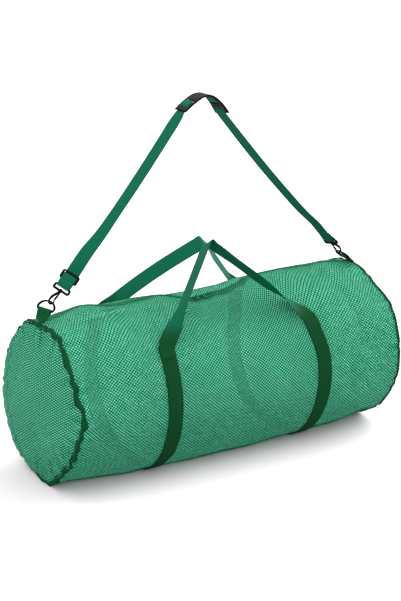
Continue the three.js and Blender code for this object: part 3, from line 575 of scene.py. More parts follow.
@dataclass
class Section:
    """Cross-section of a bar: half sizes and how square it is."""

    wide: float
    tall: float
    square: float = 1.0
    sides: int = 12

    def ring(self) -> Array:
        """Points of the section, across and up."""
        a = np.arange(self.sides) / self.sides * 2 * math.pi
        c, s = np.cos(a), np.sin(a)
        return np.stack(
            [
                self.wide * np.sign(c) * np.abs(c) ** self.square,
                self.tall * np.sign(s) * np.abs(s) ** self.square,
            ],
            axis=1,
        )


def sweep(
    draft: Draft,
    path: Array,
    up: Array,
    section: Section,
    scale: Amount = 1.0,
    closed: bool = False,
    along: Union[Array, None] = None,
) -> None:
    """Carries a section along a path as a closed solid.

    Args:
        draft: Where the solid goes.
        path: Points of the middle line.
        up: Direction square to the path, one for all.
        section: Cross-section.
        scale: Size of the section at each point.
        closed: Whether the path joins up.
        along: Fixed heading of a straight path.
    """
    count, sides = len(path), section.sides
    if along is None:
        ends = (np.roll(path, -1, 0) - np.roll(path, 1, 0)) if closed else np.gradient(path, axis=0)
        along = unit(ends)
    along = np.broadcast_to(along, path.shape)
    lift = square_to(np.broadcast_to(up, path.shape), along)
    across = np.cross(along, lift)
    scale = np.broadcast_to(np.asarray(scale, float), (count,))
    ring = section.ring()
    points = path[:, None] + scale[:, None, None] * (
        across[:, None] * ring[None, :, :1] + lift[:, None] * ring[None, :, 1:]
    )
    index = np.arange(count * sides).reshape(count, sides)
    if closed:
        index = np.vstack([index, index[:1]])
    quads = tube_faces(index)
    length = distances(path)
    round_it = np.arange(sides) / sides * math.pi * (section.wide + section.tall)
    uv = np.stack(np.broadcast_arrays(round_it[None, :], length[:, None]), axis=-1) * MM
    faces = [quads]
    points, uv = points.reshape(-1, 3), uv.reshape(-1, 2)
    if not closed:
        poles = np.array([count * sides, count * sides + 1])
        points = np.vstack([points, path[:1], path[-1:]])
        uv = np.vstack([uv, uv[:1], uv[-1:]])
        first, last = index[0], index[-1]
        faces.append(np.stack([np.full(sides, poles[0]), first, np.roll(first, -1)], axis=1))
        faces.append(np.stack([np.full(sides, poles[1]), np.roll(last, -1), last], axis=1))
    draft.add(points, faces, uv)


def post(
    draft: Draft,
    place: Place,
    axis: Sequence[float],
    profile: Sequence[tuple[float, float]],
    at: Sequence[float] = (0, 0, 0),
) -> None:
    """Turned pin with a profile along a local axis.

    Args:
        draft: Where the solid goes.
        place: Local axes.
        axis: Local direction of the pin.
        profile: Rows of distance along the axis and radius.
        at: Local start point.
    """
    axis = np.asarray(axis, float)
    heights = np.array([h for h, _ in profile])
    radii = np.array([r for _, r in profile])
    path = place.world(np.asarray(at, float) + heights[:, None] * axis)
    side = (0.0, 0.0, 1.0) if abs(axis[2]) < 0.5 else (1.0, 0.0, 0.0)
    sweep(draft, path, place.heading(side), Section(1, 1, sides=20), radii, along=place.heading(axis))


def stitches(
    draft: Draft, path: Array, normals: Array, pitch: float, length: float = 2.6, width: float = 0.42, lift: float = 0.1
) -> None:
    """Lays a row of thread stitches along a path.

    Args:
        draft: Where the stitches go.
        path: Points of the seam on the cloth's face.
        normals: Outward direction at each point.
        pitch: Distance from stitch to stitch.
        length: Length of a stitch.
        width: Half width of the thread.
        lift: Height of the thread's middle over the path.
    """
    at = distances(path)
    places = np.arange(pitch / 2, at[-1], pitch)
    if not len(places):
        return

    def sample(rows: Array, where: Array) -> Array:
        """Rows at distances along the path."""
        return np.stack([np.interp(where, at, rows[:, k]) for k in range(3)], axis=1)

    start = sample(path, np.maximum(places - length / 2, 0))
    stop = sample(path, np.minimum(places + length / 2, at[-1]))
    up = unit(sample(normals, places))
    along = unit(stop - start)
    side = np.cross(along, up)
    middle = (start + stop) / 2 + up * lift
    corners = np.stack(
        [start, stop, middle + side * width, middle + up * width, middle - side * width, middle - up * width], axis=1
    )
    shape = np.array([[0, 2, 3], [0, 3, 4], [0, 4, 5], [0, 5, 2], [1, 3, 2], [1, 4, 3], [1, 5, 4], [1, 2, 5]])
    faces = (np.arange(len(places))[:, None, None] * 6 + shape[None]).reshape(-1, 3)
    uv = np.repeat(np.stack([places * 0, places], axis=1) * MM, 6, axis=0)
    draft.add(corners.reshape(-1, 3), [faces], uv)


@dataclass
class Ribbon:
    """Strip of cloth laid along stations, each a place and the direction across."""

    places: Array
    across: Array
    width: float
    thick: float
    columns: int = 9
    step: float = 4.0

    def __post_init__(self) -> None:
        """Smooths the stations and works out the strip's own directions."""
        rows = smooth_path(np.hstack([self.places, self.across]), self.step)
        self.path = rows[:, :3]
        self.at = distances(self.path)
        self.along = unit(np.gradient(self.path, self.at, axis=0))
        self.sideways = square_to(rows[:, 3:6], self.along)
        self.face = np.cross(self.sideways, self.along)

    @property
    def length(self) -> float:
        """Length of the strip in millimetres."""
        return float(self.at[-1])

    def edge(self, share: float, start: float = 0.0, stop: float = 1.0, lift: float = 0.0) -> tuple[Array, Array]:
        """Line along the strip.

        Args:
            share: Place across, from -1 to 1.
            start: Share of the length where the line starts.
            stop: Share of the length where it stops.
            lift: Height over the middle face.

        Returns:
            Points of the line and the face direction there.
        """
        inside = (self.at >= start * self.length) & (self.at <= stop * self.length)
        points = self.path + self.sideways * (share * self.width / 2) + self.face * lift
        return points[inside], self.face[inside]

    def lay(self, draft: Draft, tone: Amount = 0.0) -> None:
        """Adds the strip to a draft, its edges thinner than its middle.

        Args:
            draft: Where the strip goes.
            tone: Shade mark along the strip, one number or one per point of the path.
        """
        share = np.sin(np.linspace(-math.pi / 2, math.pi / 2, self.columns))
        offset = share * self.width / 2
        grid = self.path[:, None] + self.sideways[:, None] * offset[None, :, None]
        half = self.thick / 2 * (1 - 0.55 * np.abs(share) ** 10)
        normals = np.broadcast_to(self.face[:, None], grid.shape)
        uv = np.stack(np.broadcast_arrays(offset[None, :], self.at[:, None]), axis=-1) * MM
        marks = np.broadcast_to(np.asarray(tone, float), (len(self.path),))[:, None]
        slab(draft, grid, normals, half[None, :], uv, tone=np.broadcast_to(marks, grid.shape[:2]))

    def piece(
        self,
        name: str,
        material: Material,
        slot: str,
        node: str,
        tone: Amount = 0.0,
        **cloth: Any,
    ) -> Piece:
        """Makes the strip as a piece.

        Args:
            name: Name of the piece.
            material: Its finish.
            slot: Material slot of the record; not used.
            node: Node that it stands for.
            tone: Shade mark along the strip.
            **cloth: How the cloth is held, and what it rests on; not used.

        Returns:
            The piece.
        """
        draft = Draft()
        self.lay(draft, tone)
        piece = set_piece(draft.build(name, material), [node])
        self.width * MM
        return piece


# Finishes


class Value:
    """A number in a shader, with arithmetic."""

    def __init__(self, graph: "Graph", socket: bpy.types.NodeSocket) -> None:
        """Wraps an output socket of a graph."""
        self.graph = graph
        self.socket = socket

    def __add__(self, other: Number) -> "Value":
        """Sum."""
        return self.graph.math("ADD", self, other)

    __radd__ = __add__

    def __sub__(self, other: Number) -> "Value":
        """Difference."""
        return self.graph.math("SUBTRACT", self, other)

    def __rsub__(self, other: Number) -> "Value":
        """Difference from a number."""
        return self.graph.math("SUBTRACT", other, self)

    def __mul__(self, other: Number) -> "Value":
        """Product."""
        return self.graph.math("MULTIPLY", self, other)

    __rmul__ = __mul__

    def __truediv__(self, other: Number) -> "Value":
        """Quotient."""
        return self.graph.math("DIVIDE", self, other)

    def sine(self) -> "Value":
        """Sine of the value in radians."""
        return self.graph.math("SINE", self)

    def size(self) -> "Value":
        """Value without its sign."""
        return self.graph.math("ABSOLUTE", self)

    def clamped(self) -> "Value":
        """Value held between 0 and 1."""
        return self.graph.node("ShaderNodeClamp", {}, {"Value": self}).value("Result")


class Made:
    """A node that has been made, with its outputs as values."""

    def __init__(self, graph: "Graph", node: bpy.types.Node) -> None:
        """Wraps a node of a graph."""
        self.graph = graph
        self.node = node

    def value(self, output: Union[str, int]) -> Value:
        """Output by name or number."""
        return Value(self.graph, self.node.outputs[output])


class Graph:
    """Node tree of one material."""

    def __init__(self, name: str) -> None:
        """Starts an empty material.

        Args:
            name: Name of the material.
        """
        self.material = bpy.data.materials.new(name)
        self.material.use_nodes = True
        self.tree = self.material.node_tree
        self.tree.nodes.clear()

    def node(self, kind: str, settings: dict[str, Any], inputs: dict[Union[str, int], Any]) -> Made:
        """Makes a node.

        Args:
            kind: Type of node.
            settings: Properties set before its sockets are used.
            inputs: Values or links by socket name or number.

        Returns:
            The node.
        """
        node = self.tree.nodes.new(kind)
        for key, setting in settings.items():
            setattr(node, key, setting)
        for key, item in inputs.items():
            if isinstance(item, Value):
                self.tree.links.new(item.socket, node.inputs[key])
            else:
                node.inputs[key].default_value = item
        return Made(self, node)

    def math(self, operation: str, *items: Number) -> Value:
        """Math node over numbers and values."""
        return self.node("ShaderNodeMath", {"operation": operation}, dict(enumerate(items))).value(0)

    def blend(self, share: Number, low: Any, high: Any) -> Value:
        """Mix of two colours.

        Args:
            share: Share of the second colour.
            low: First colour.
            high: Second colour.

        Returns:
            The mixed colour.
        """
        return self.node("ShaderNodeMix", {"data_type": "RGBA"}, {0: share, 6: low, 7: high}).value(2)

    def noise(self, place: Value, scale: float, detail: float = 3.0, rough: float = 0.55) -> Value:
        """Soft noise from 0 to 1 at a scale per metre."""
        inputs = {"Vector": place, "Scale": scale, "Detail": detail, "Roughness": rough}
        return self.node("ShaderNodeTexNoise", {}, inputs).value(0)

    def solid_place(self) -> Value:
        """Place on the piece, in metres."""
        return self.node("ShaderNodeTexCoord", {}, {}).value("Object")

    def cloth_place(self) -> tuple[Value, Value]:
        """Place on the flat cloth.

        Returns:
            Place across and place along, in metres.
        """
        uv = self.node("ShaderNodeUVMap", {"uv_map": "Cloth"}, {}).value(0)
        split = self.node("ShaderNodeSeparateXYZ", {}, {0: uv})
        return split.value(0), split.value(1)

    def tone(self) -> Value:
        """Shade mark of the piece."""
        return self.node("ShaderNodeAttribute", {"attribute_name": "tone"}, {}).value("Fac")

    def bump(self, height: Value, strength: float, distance: float) -> Value:
        """Relief from a height in 0 to 1."""
        inputs = {"Height": height, "Strength": strength, "Distance": distance}
        return self.node("ShaderNodeBump", {}, inputs).value(0)

    def finish(self, inputs: dict[str, Any], through: float = 0.0) -> Material:
        """Ends the material.

        Args:
            inputs: Sockets of its shader.
            through: Share of the light that passes through the cloth.

        Returns:
            The material.
        """
        surface = self.node("ShaderNodeBsdfPrincipled", {}, inputs).value(0)
        if through:
            back = self.node("ShaderNodeBsdfTranslucent", {}, {"Color": inputs["Base Color"]})
            surface = self.node("ShaderNodeMixShader", {}, {0: through, 1: surface, 2: back.value(0)}).value(0)
        self.node("ShaderNodeOutputMaterial", {}, {"Surface": surface})
        return self.material


def paint(colour: Colour, gain: float = 0.68) -> tuple[float, float, float, float]:
    """Screen colour from 0 to 255 as linear light.

    Args:
        colour: Red, green and blue.
        gain: Factor on the linear light.

    Returns:
        Linear colour with full alpha.
    """
    linear = [gain * ((c / 255 + 0.055) / 1.055) ** 2.4 if c > 10 else gain * c / 255 / 12.92 for c in colour]
    return (linear[0], linear[1], linear[2], 1.0)


@dataclass(frozen=True)
class NetYarn:
    """Knitted net: pale thin rims round the holes, painted light that stands for the bright backdrop seen through them,
    deeper ridges, a fine twist in the yarn.
    """

    # flat is painted light: the pale mint laid on the rims round the holes and on the inner face, standing for light
    # seen through the net.
    flat: Colour = (143, 255, 222)
    knot: Colour = (0, 104, 66)
    cloud: Colour = (6, 110, 70)
    twist: float = 2400.0
    through: float = 0.18
    edge: float = 3.5

    def material(self, name: str) -> Material:
        """Makes the material.

        Args:
            name: Its name.

        Returns:
            The material.
        """
        g = Graph(name)
        across, along = g.cloth_place()
        place = g.solid_place()
        cloud = g.noise(place, 9.0)
        speck = g.noise(place, 420.0, 2.0)
        # Painted light and shade: a low tone paints the yarn pale as light seen through the holes, and a high tone
        # keeps the yarn's deep green. On the inner face a high tone is painted shade.
        ridge = (g.tone() * 12.0 + speck * 0.4 - self.edge).clamped()
        base = g.blend(ridge, paint(self.flat, 1.0), paint(self.knot))
        shade = g.blend((cloud * 1.6 - 0.5).clamped() * 0.25, base, paint(self.cloud))
        twist = ((across + along) * self.twist).sine() * 0.5 + 0.5
        return g.finish(
            {
                "Base Color": shade,
                "Roughness": 0.5 + speck * 0.25,
                "Normal": g.bump(twist * 0.6 + speck * 0.4, 0.35, 0.0003),
                "Specular IOR Level": 0.03,
            },
            self.through,
        )


@dataclass(frozen=True)
class WovenTape:
    """Woven webbing or tape: ribs along, picks across with their hollows painted darker as shade, thinner selvedges,
    and painted shade where the tone mark is set.
    """

    face: Colour
    deep: Colour
    width: float
    rib: float = 1.7
    pick: float = 1.1
    relief: float = 0.0005
    # Painted shade colour, blended in where the tone mark is set, as toward a handle's feet.
    painted_shade: Colour = (5, 62, 28)

    def material(self, name: str) -> Material:
        """Makes the material.

        Args:
            name: Its name.

        Returns:
            The material.
        """
        g = Graph(name)
        across, along = g.cloth_place()
        place = g.solid_place()
        turn = 2 * math.pi / MM
        rib = (across * (turn / self.rib)).sine()
        pick = (along * (turn / self.pick) + rib * 1.4).sine()
        weave = (rib * pick) * 0.3 + pick * 0.2 + 0.5
        edge = ((across.size() / (self.width * MM / 2) - 0.86) * 9.0).clamped()
        cloud = g.noise(place, 22.0)
        fuzz = g.noise(place, 900.0, 2.0)
        # Painted shade in the weave's hollows, where the bump is low, plus darker selvedges and a random fuzz.
        dark = (1 - weave) * 0.45 + edge * 0.3 + (fuzz - 0.5) * 0.3
        base = g.blend(dark.clamped(), paint(self.face), paint(self.deep))
        worn = g.blend((cloud * 1.8 - 0.7).clamped() * 0.3, base, paint(self.deep))
        # Painted shade: a high tone darkens the webbing toward this colour.
        painted_shade = g.blend(g.tone().clamped(), worn, paint(self.painted_shade))
        return g.finish(
            {
                "Base Color": painted_shade,
                "Roughness": 0.62 + fuzz * 0.25,
                "Normal": g.bump(weave * 0.8 + fuzz * 0.2, 0.6, self.relief),
                "Specular IOR Level": 0.04,
            }
        )


@dataclass(frozen=True)
class SewingThread:
    """Twisted thread."""

    colour: Colour

    def material(self, name: str) -> Material:
        """Makes the material.

        Args:
            name: Its name.

        Returns:
            The material.
        """
        g = Graph(name)
        place = g.solid_place()
        ply = g.noise(place, 1500.0, 2.0)
        return g.finish(
            {
                "Base Color": g.blend(ply, paint(self.colour, 0.7), paint(self.colour, 1.3)),
                "Roughness": 0.45 + ply * 0.2,
                "Normal": g.bump(ply, 0.4, 0.0002),
                "Specular IOR Level": 0.05,
            }
        )


@dataclass(frozen=True)
class BlackPart:
    """Black fitting, with worn edges and a faint grain."""

    colour: Colour = (6, 6, 7)
    worn: Colour = (24, 25, 27)
    rough: float = 0.46
    grain: float = 600.0

    def material(self, name: str) -> Material:
        """Makes the material.

        Args:
            name: Its name.

        Returns:
            The material.
        """
        g = Graph(name)
        place = g.solid_place()
        grain = g.noise(place, self.grain, 4.0)
        rub = g.noise(place, 60.0, 4.0, 0.7)
        wear = ((rub - 0.58) * 5.0).clamped()
        return g.finish(
            {
                "Base Color": g.blend(wear * 0.5, paint(self.colour), paint(self.worn)),
                "Roughness": self.rough + grain * 0.16 + wear * 0.12,
                "Normal": g.bump(grain, 0.12, 0.0003),
                "Specular IOR Level": 0.06,
            }
        )


@dataclass(frozen=True)
class PadRubber:
    """Black moulded pad, its rib crests painted grey as a highlight, mottled faintly with dust."""

    def material(self, name: str) -> Material:
        """Makes the material.

        Args:
            name: Its name.

        Returns:
            The material.
        """
        g = Graph(name)
        place = g.solid_place()
        dust = g.noise(place, 140.0, 4.0)
        pits = g.noise(place, 1800.0, 2.0)
        # Painted highlight: grey on the rib crests where the tone is high, with a faint random mottle of dust.
        painted_rib_highlight_and_dust = (g.tone() * 0.9 + (dust - 0.5) * 0.25).clamped()
        return g.finish(
            {
                "Base Color": g.blend(painted_rib_highlight_and_dust, paint((1, 1, 2)), paint((64, 62, 64))),
                "Roughness": 0.55 + dust * 0.25,
                "Normal": g.bump(pits, 0.25, 0.0003),
                "Specular IOR Level": 0.04,
            }
        )


@dataclass(frozen=True)
class PaleFloor:
    """White studio floor."""

    def material(self, name: str) -> Material:
        """Makes the material.

        Args:
            name: Its name.

        Returns:
            The material.
        """
        g = Graph(name)
        tooth = g.noise(g.solid_place(), 40.0, 2.0)
        return g.finish(
            {
                "Base Color": g.blend(tooth, (0.58, 0.55, 0.565, 1.0), (0.595, 0.565, 0.58, 1.0)),
                "Roughness": 0.9 + tooth * 0.05,
                "Specular IOR Level": 0.05,
            }
        )


class Wardrobe:
    """All finishes of the bag, made once."""

    def __init__(self) -> None:
        """Makes the materials."""
        green, deep = (11, 100, 74), (6, 76, 55)
        self.net = NetYarn().material("net_yarn")
        self.net_lit = NetYarn(through=0.45, edge=6.2).material("net_yarn_lit")
        self.hem = WovenTape((9, 104, 70), (4, 76, 48), 24, rib=2.2, pick=2.2).material("net_hem")
        self.binding = WovenTape((6, 70, 40), (2, 46, 24), 22, rib=1.2, pick=0.9).material("binding_tape")
        self.band = WovenTape((5, 65, 30), (2, 47, 20), 38).material("band_webbing")
        self.webbing = WovenTape(green, deep, 38).material("handle_webbing")
        self.tab = WovenTape((9, 78, 44), (5, 56, 32), 32, rib=1.4).material("tab_webbing")
        self.strap = WovenTape(green, deep, 32, rib=1.4).material("strap_webbing")
        self.zip_tape = WovenTape((14, 90, 58), (6, 60, 38), 30, rib=0.9, pick=0.7).material("zip_tape")
        self.zip_teeth = SewingThread((8, 78, 50)).material("zip_nylon")
        self.thread = SewingThread((6, 60, 34)).material("thread")
        self.metal = BlackPart(rough=0.42).material("black_metal")
        self.plastic = BlackPart(rough=0.5, grain=900.0).material("black_plastic")
        self.rubber = PadRubber().material("pad_rubber")
        self.floor = PaleFloor().material("floor_paint")

    def net_for(self, seen: bool) -> tuple[float, Material]:
        """How far the holes stray and the yarn, for net that is seen first or seen through it."""
        return (0.0, self.net) if seen else (SMALL_HOLE_STRAY, self.net_lit)


def set_piece(piece: Piece, nodes: Sequence[str], body: Body = Body.ROOT) -> Piece:
    """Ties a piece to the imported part.

    Args:
        piece: The new piece.
        nodes: Nodes that it stands for.
        body: Body that it rides on.

    Returns:
        The piece.
    """
    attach(piece, body.value)
    if nodes:
        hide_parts(*nodes)
    return piece


# Net

SMALL_HOLE = 0.16
SMALL_HOLE_STRAY = 0.4
# Painted shade on the net's inner face: how deeply it is marked low over the floor and behind the bands.
FLOOR_SHADE = 1.1
BAND_SHADE = 3.0


def shade_over_floor(points: Array) -> Array:
    """Painted shade mark of the inner face, dark low down over the floor."""
    return FLOOR_SHADE * (1 - smoothstep(points[:, 2], -20, 64))


@dataclass
class NetWeave:
    """Staggered four-sided meshes of the net, flat."""

    pitch: float = 8.47
    row: float = 3.7
    hole: float = 0.41
    half_thick: float = 0.7

    @property
    def cloth_share(self) -> float:
        """Share of the flat area that is yarn."""
        return 1 - self.hole**2

    def cells(self, columns: int, rows: int) -> tuple[Array, Array, Array]:
        """Lattice of meshes.

        Args:
            columns: Meshes in a row.
            rows: Rows of meshes.

        Returns:
            Middle of each mesh, knots, and the four knot numbers of each mesh.
        """
        i, j = np.meshgrid(np.arange(columns), np.arange(rows), indexing="ij")
        wide, high = 2 * columns + 2, rows + 2
        across, up = np.meshgrid(np.arange(wide), np.arange(high), indexing="ij")
        knots = np.stack([(across - 1) * self.pitch / 2, (up - 1) * self.row], axis=-1).reshape(-1, 2)
        column = 2 * i + j % 2 + 1
        middle = np.stack([(column - 1) * self.pitch / 2, j * self.row], axis=-1).astype(float)
        number = [(column + dx) * high + (j + 1 + dy) for dx, dy in ((1, 0), (0, 1), (-1, 0), (0, -1))]
        return middle.reshape(-1, 2), knots, np.stack(number, axis=-1).reshape(-1, 4)


@dataclass
class NetSheet:
    """Net cut from the weave and laid on a surface."""

    weave: NetWeave
    middle: Array
    knots: Array
    four: Array

    def lay(
        self,
        name: str,
        keep: Array,
        surface: Callable[[Array, float], Array],
        inside: Callable[[Array, Array], Array],
        material: Material,
        loose: float = 0.0,
        drawn: Amount = 1.0,
    ) -> Piece:
        """Makes one piece of the net.

        Args:
            name: Name of the piece.
            keep: Which cells it takes.
            surface: Function from flat places and a height to points.
            inside: Function from flat places and points to the painted shade mark of the inner face.
            material: Finish of the yarn.
            loose: How far the holes stray from their rows, as a share of a cell.
            drawn: Size of each hole as a share of the weave's.

        Returns:
            The piece.
        """
        four = self.four[keep]
        used, four = np.unique(four, return_inverse=True)
        four = four.reshape(-1, 4)
        ridge = self.knots[used]
        centre = self.middle[keep]
        stray = np.random.default_rng(7).uniform(-loose, loose, centre.shape) * [self.weave.pitch / 2, self.weave.row]
        hole = np.broadcast_to(self.weave.hole * drawn, len(centre))[:, None, None]
        rim = (centre + stray)[:, None] + (ridge[four] - centre[:, None]) * hole
        rim = rim.reshape(-1, 2)
        h = self.weave.half_thick
        inner_face = surface(ridge, -h)
        points = np.vstack([surface(ridge, h), inner_face, surface(rim, 0.0)])
        count = len(ridge)
        ring = 2 * count + np.arange(len(rim)).reshape(-1, 4)
        following = np.roll(four, -1, axis=1)
        inner = np.roll(ring, -1, axis=1)
        top = np.stack([four, following, inner, ring], axis=-1).reshape(-1, 4)
        under = np.stack([following, four, ring, inner], axis=-1).reshape(-1, 4)
        under[:, :2] += count
        pairs = np.stack([four, following], axis=-1).reshape(-1, 2)
        forward = pairs[:, 0] * count + pairs[:, 1]
        rim_edge = pairs[~np.isin(forward, pairs[:, 1] * count + pairs[:, 0])]
        wall = np.stack([rim_edge[:, 1], rim_edge[:, 0], rim_edge[:, 0] + count, rim_edge[:, 1] + count], axis=1)
        flat = np.vstack([ridge, ridge, rim]) * MM
        # Tone 1 keeps the outer ridges deep green and tone 0 paints the rims pale, as light seen through the holes. The
        # inner face takes painted light or painted shade from inside.
        tone = np.concatenate([np.ones(count), inside(ridge, inner_face), np.zeros(len(rim))])
        draft = Draft()
        draft.add(points, [top, under, wall], flat, tone)
        return draft.build(name, material, 180.0)


@dataclass
class NetBody:
    """Tube of net from the zip's front edge round to its back edge."""

    shape: BagShape
    wardrobe: Wardrobe
    girth: float = 1186.0
    sunk: float = -0.7
    band_half: float = 19.0
    band_from: float = 5 / 36

    def build(self) -> list[Piece]:
        """Makes the tube in pieces that meet under the bands and along the bottom.

        Returns:
            The pieces.
        """
        weave = NetWeave()
        columns = int(2 * self.shape.half_length / weave.pitch) + 1
        rows = int(self.girth / weave.row / 2) * 2
        cuts = (-1000.0, self.shape.band_left_x, self.shape.band_right_x, 1000.0)
        cells = weave.cells(columns, rows)
        sheets = {Side.FRONT: NetSheet(weave, *cells), Side.BACK: NetSheet(NetWeave(hole=SMALL_HOLE), *cells)}
        start = -(columns - 0.5) * weave.pitch / 2

        def surface(flat: Array, lift: float) -> Array:
            """Flat places carried to the tube.

            Args:
                flat: Places on the cut.
                lift: Height outward.

            Returns:
                Points of the bag.
            """
            x = flat[:, 0] + start
            share = np.clip((flat[:, 1] + weave.row / 2) / (rows * weave.row), -0.004, 1.004)
            return self.shape.point(x, self.shape.line(x, share), self.sunk + lift)

        def inside(flat: Array, points: Array) -> Array:
            """Painted shade inside over the floor and behind the bands; elsewhere the inner face is painted pale, as
            light coming through.

            Args:
                flat: Places on the cut.
                points: The same places on the bag.

            Returns:
                Shade marks.
            """
            away = np.minimum(*(np.abs(flat[:, 0] + start - c) for c in cuts[1:3]))
            span = rows * weave.row
            sewn = np.minimum(flat[:, 1], span - flat[:, 1]) > self.band_from * span
            # Painted shade: dark behind the bands where they are sewn, and low over the floor.
            return np.maximum(BAND_SHADE * (away < self.band_half) * sewn, shade_over_floor(points))

        x = cells[0][:, 0] + start
        front = cells[0][:, 1] < rows * weave.row / 2
        pieces = []
        for word, low, high in zip(("left", "middle", "right"), cuts, cuts[1:]):
            for side in Side:
                keep = (x >= low) & (x < high) & (front == (side is Side.FRONT))
                loose, yarn = self.wardrobe.net_for(side is Side.FRONT)
                sheet = sheets[side]
                piece = sheet.lay(f"net_{side.value}_{word}", keep, surface, inside, yarn, loose)
                long = (min(high, self.shape.half_length) - max(low, -self.shape.half_length)) * MM
                wide = self.girth / 2 * MM
                self.dress(piece, wide, long, sheet.weave.cloth_share)
                pieces.append(piece)
        return pieces

    def dress(self, piece: Piece, wide: float, long: float, share: float) -> None:
        """Ties a piece to the part.

        Args:
            piece: The piece.
            wide: Flat width in metres.
            long: Flat length in metres.
            share: Share of the flat area that is yarn.
        """
        set_piece(piece, ["body_panel"])
        wide * long * min(1.0, share * 1.25)


@dataclass
class EndPanel:
    """Round end of net, domed, with puckers running in from its seam."""

    shape: BagShape
    wardrobe: Wardrobe
    end: End
    bulge: float = 16.0
    inset: float = 2.6
    stretch: tuple[tuple[float, float], ...] = ((1.856, -0.062), (-0.38, 0.837))
    hole: float = 0.4
    flat_size: float = 0.375
    cut_share: float = 0.75

    def rim(self, flat: Array) -> tuple[Array, Array, Array]:
        """Seam of the panel beyond flat places.

        Args:
            flat: Places across and up from the panel's middle.

        Returns:
            Their headings, the seam's points there and those points' distance from the middle.
        """
        deg = np.degrees(np.arctan2(-flat[:, 0], flat[:, 1]))
        rim = self.shape.point(self.end.value * self.shape.half_length, deg, -self.inset)
        return deg, rim, np.hypot(rim[:, 1], rim[:, 2] - self.shape.axis_height)

    def surface(self, flat: Array, lift: Amount) -> Array:
        """Flat places on the disc, across and up from its middle, carried to the dome.

        Args:
            flat: Places in millimetres.
            lift: Height outward.

        Returns:
            Points of the bag.
        """
        deg, rim, reach = self.rim(flat)
        share = np.minimum(np.hypot(flat[:, 0], flat[:, 1]) / reach, 1.0)
        a = np.radians(deg)
        pucker = np.sin(23 * a + 0.7) + 0.7 * np.sin(37 * a) + 0.6 * np.sin(11 * a + 2.0)
        wave = 1.5 * np.sin(flat[:, 0] / 37 + 1.0) * np.sin(flat[:, 1] / 43)
        calm = 1 - 0.85 * self.shape.left_tuck.turned(deg) / max(self.shape.left_tuck.value)
        near_seam = smoothstep(share, 0.62, 0.9) * (1 - smoothstep(share, 0.9, 1.0))
        out = self.bulge * (1 - share**2) + 1.6 * calm * pucker * near_seam + wave * (1 - share)
        tuck = self.shape.left_tuck.turned(deg) * (self.end is End.LEFT)
        face = self.end.value * self.shape.half_length
        along = face + (rim[:, 0] - tuck - face) * share**3 + tuck * smoothstep(share, 0.93, 1.0)
        full = share + tuck / max(self.shape.left_tuck.value) * (np.minimum(share / 0.955, 1.0) - share)
        return np.stack(
            [
                along + self.end.value * (out + lift),
                rim[:, 1] * full,
                self.shape.axis_height + (rim[:, 2] - self.shape.axis_height) * full,
            ],
            axis=-1,
        )

    def build(self) -> Piece:
        """Makes the panel.

        Returns:
            The piece.
        """
        weave = NetWeave(hole=self.hole if self.end is End.LEFT else SMALL_HOLE)
        cut = np.array([236.0, 510.0])
        sheet = NetSheet(weave, *weave.cells(int(cut[0] / weave.pitch), int(cut[1] / weave.row)))
        pulled = np.array(self.stretch).T

        def flattened(places: Array) -> Array:
            """Places of the cut on the pulled disc, mirrored at the left end so that it faces out."""
            return ((places - cut / 2) * [self.end.value, 1.0]) @ pulled

        flat = flattened(sheet.middle)
        _, _, reach = self.rim(flat)
        keep = np.hypot(flat[:, 0], flat[:, 1]) < reach + 2.0

        def carried(places: Array, lift: float) -> Array:
            """Places of the cut carried to the dome."""
            return self.surface(flattened(places), lift)

        def inside(places: Array, points: Array) -> Array:
            """Painted shade on the inner face, dark low down over the floor."""
            return shade_over_floor(points)

        loose, yarn = self.wardrobe.net_for(self.end is End.LEFT)
        far = np.hypot(flat[:, 0], flat[:, 1]) / reach
        drawn = 1 - 0.75 * smoothstep(far, 0.86, 0.97) * smoothstep(flat[:, 0] / reach, 0.2, 0.6)
        piece = sheet.lay(f"net_end_{self.end.word}", keep, carried, inside, yarn, loose, drawn[keep])
        set_piece(piece, [f"end_panel_{self.end.word}"])
        return piece


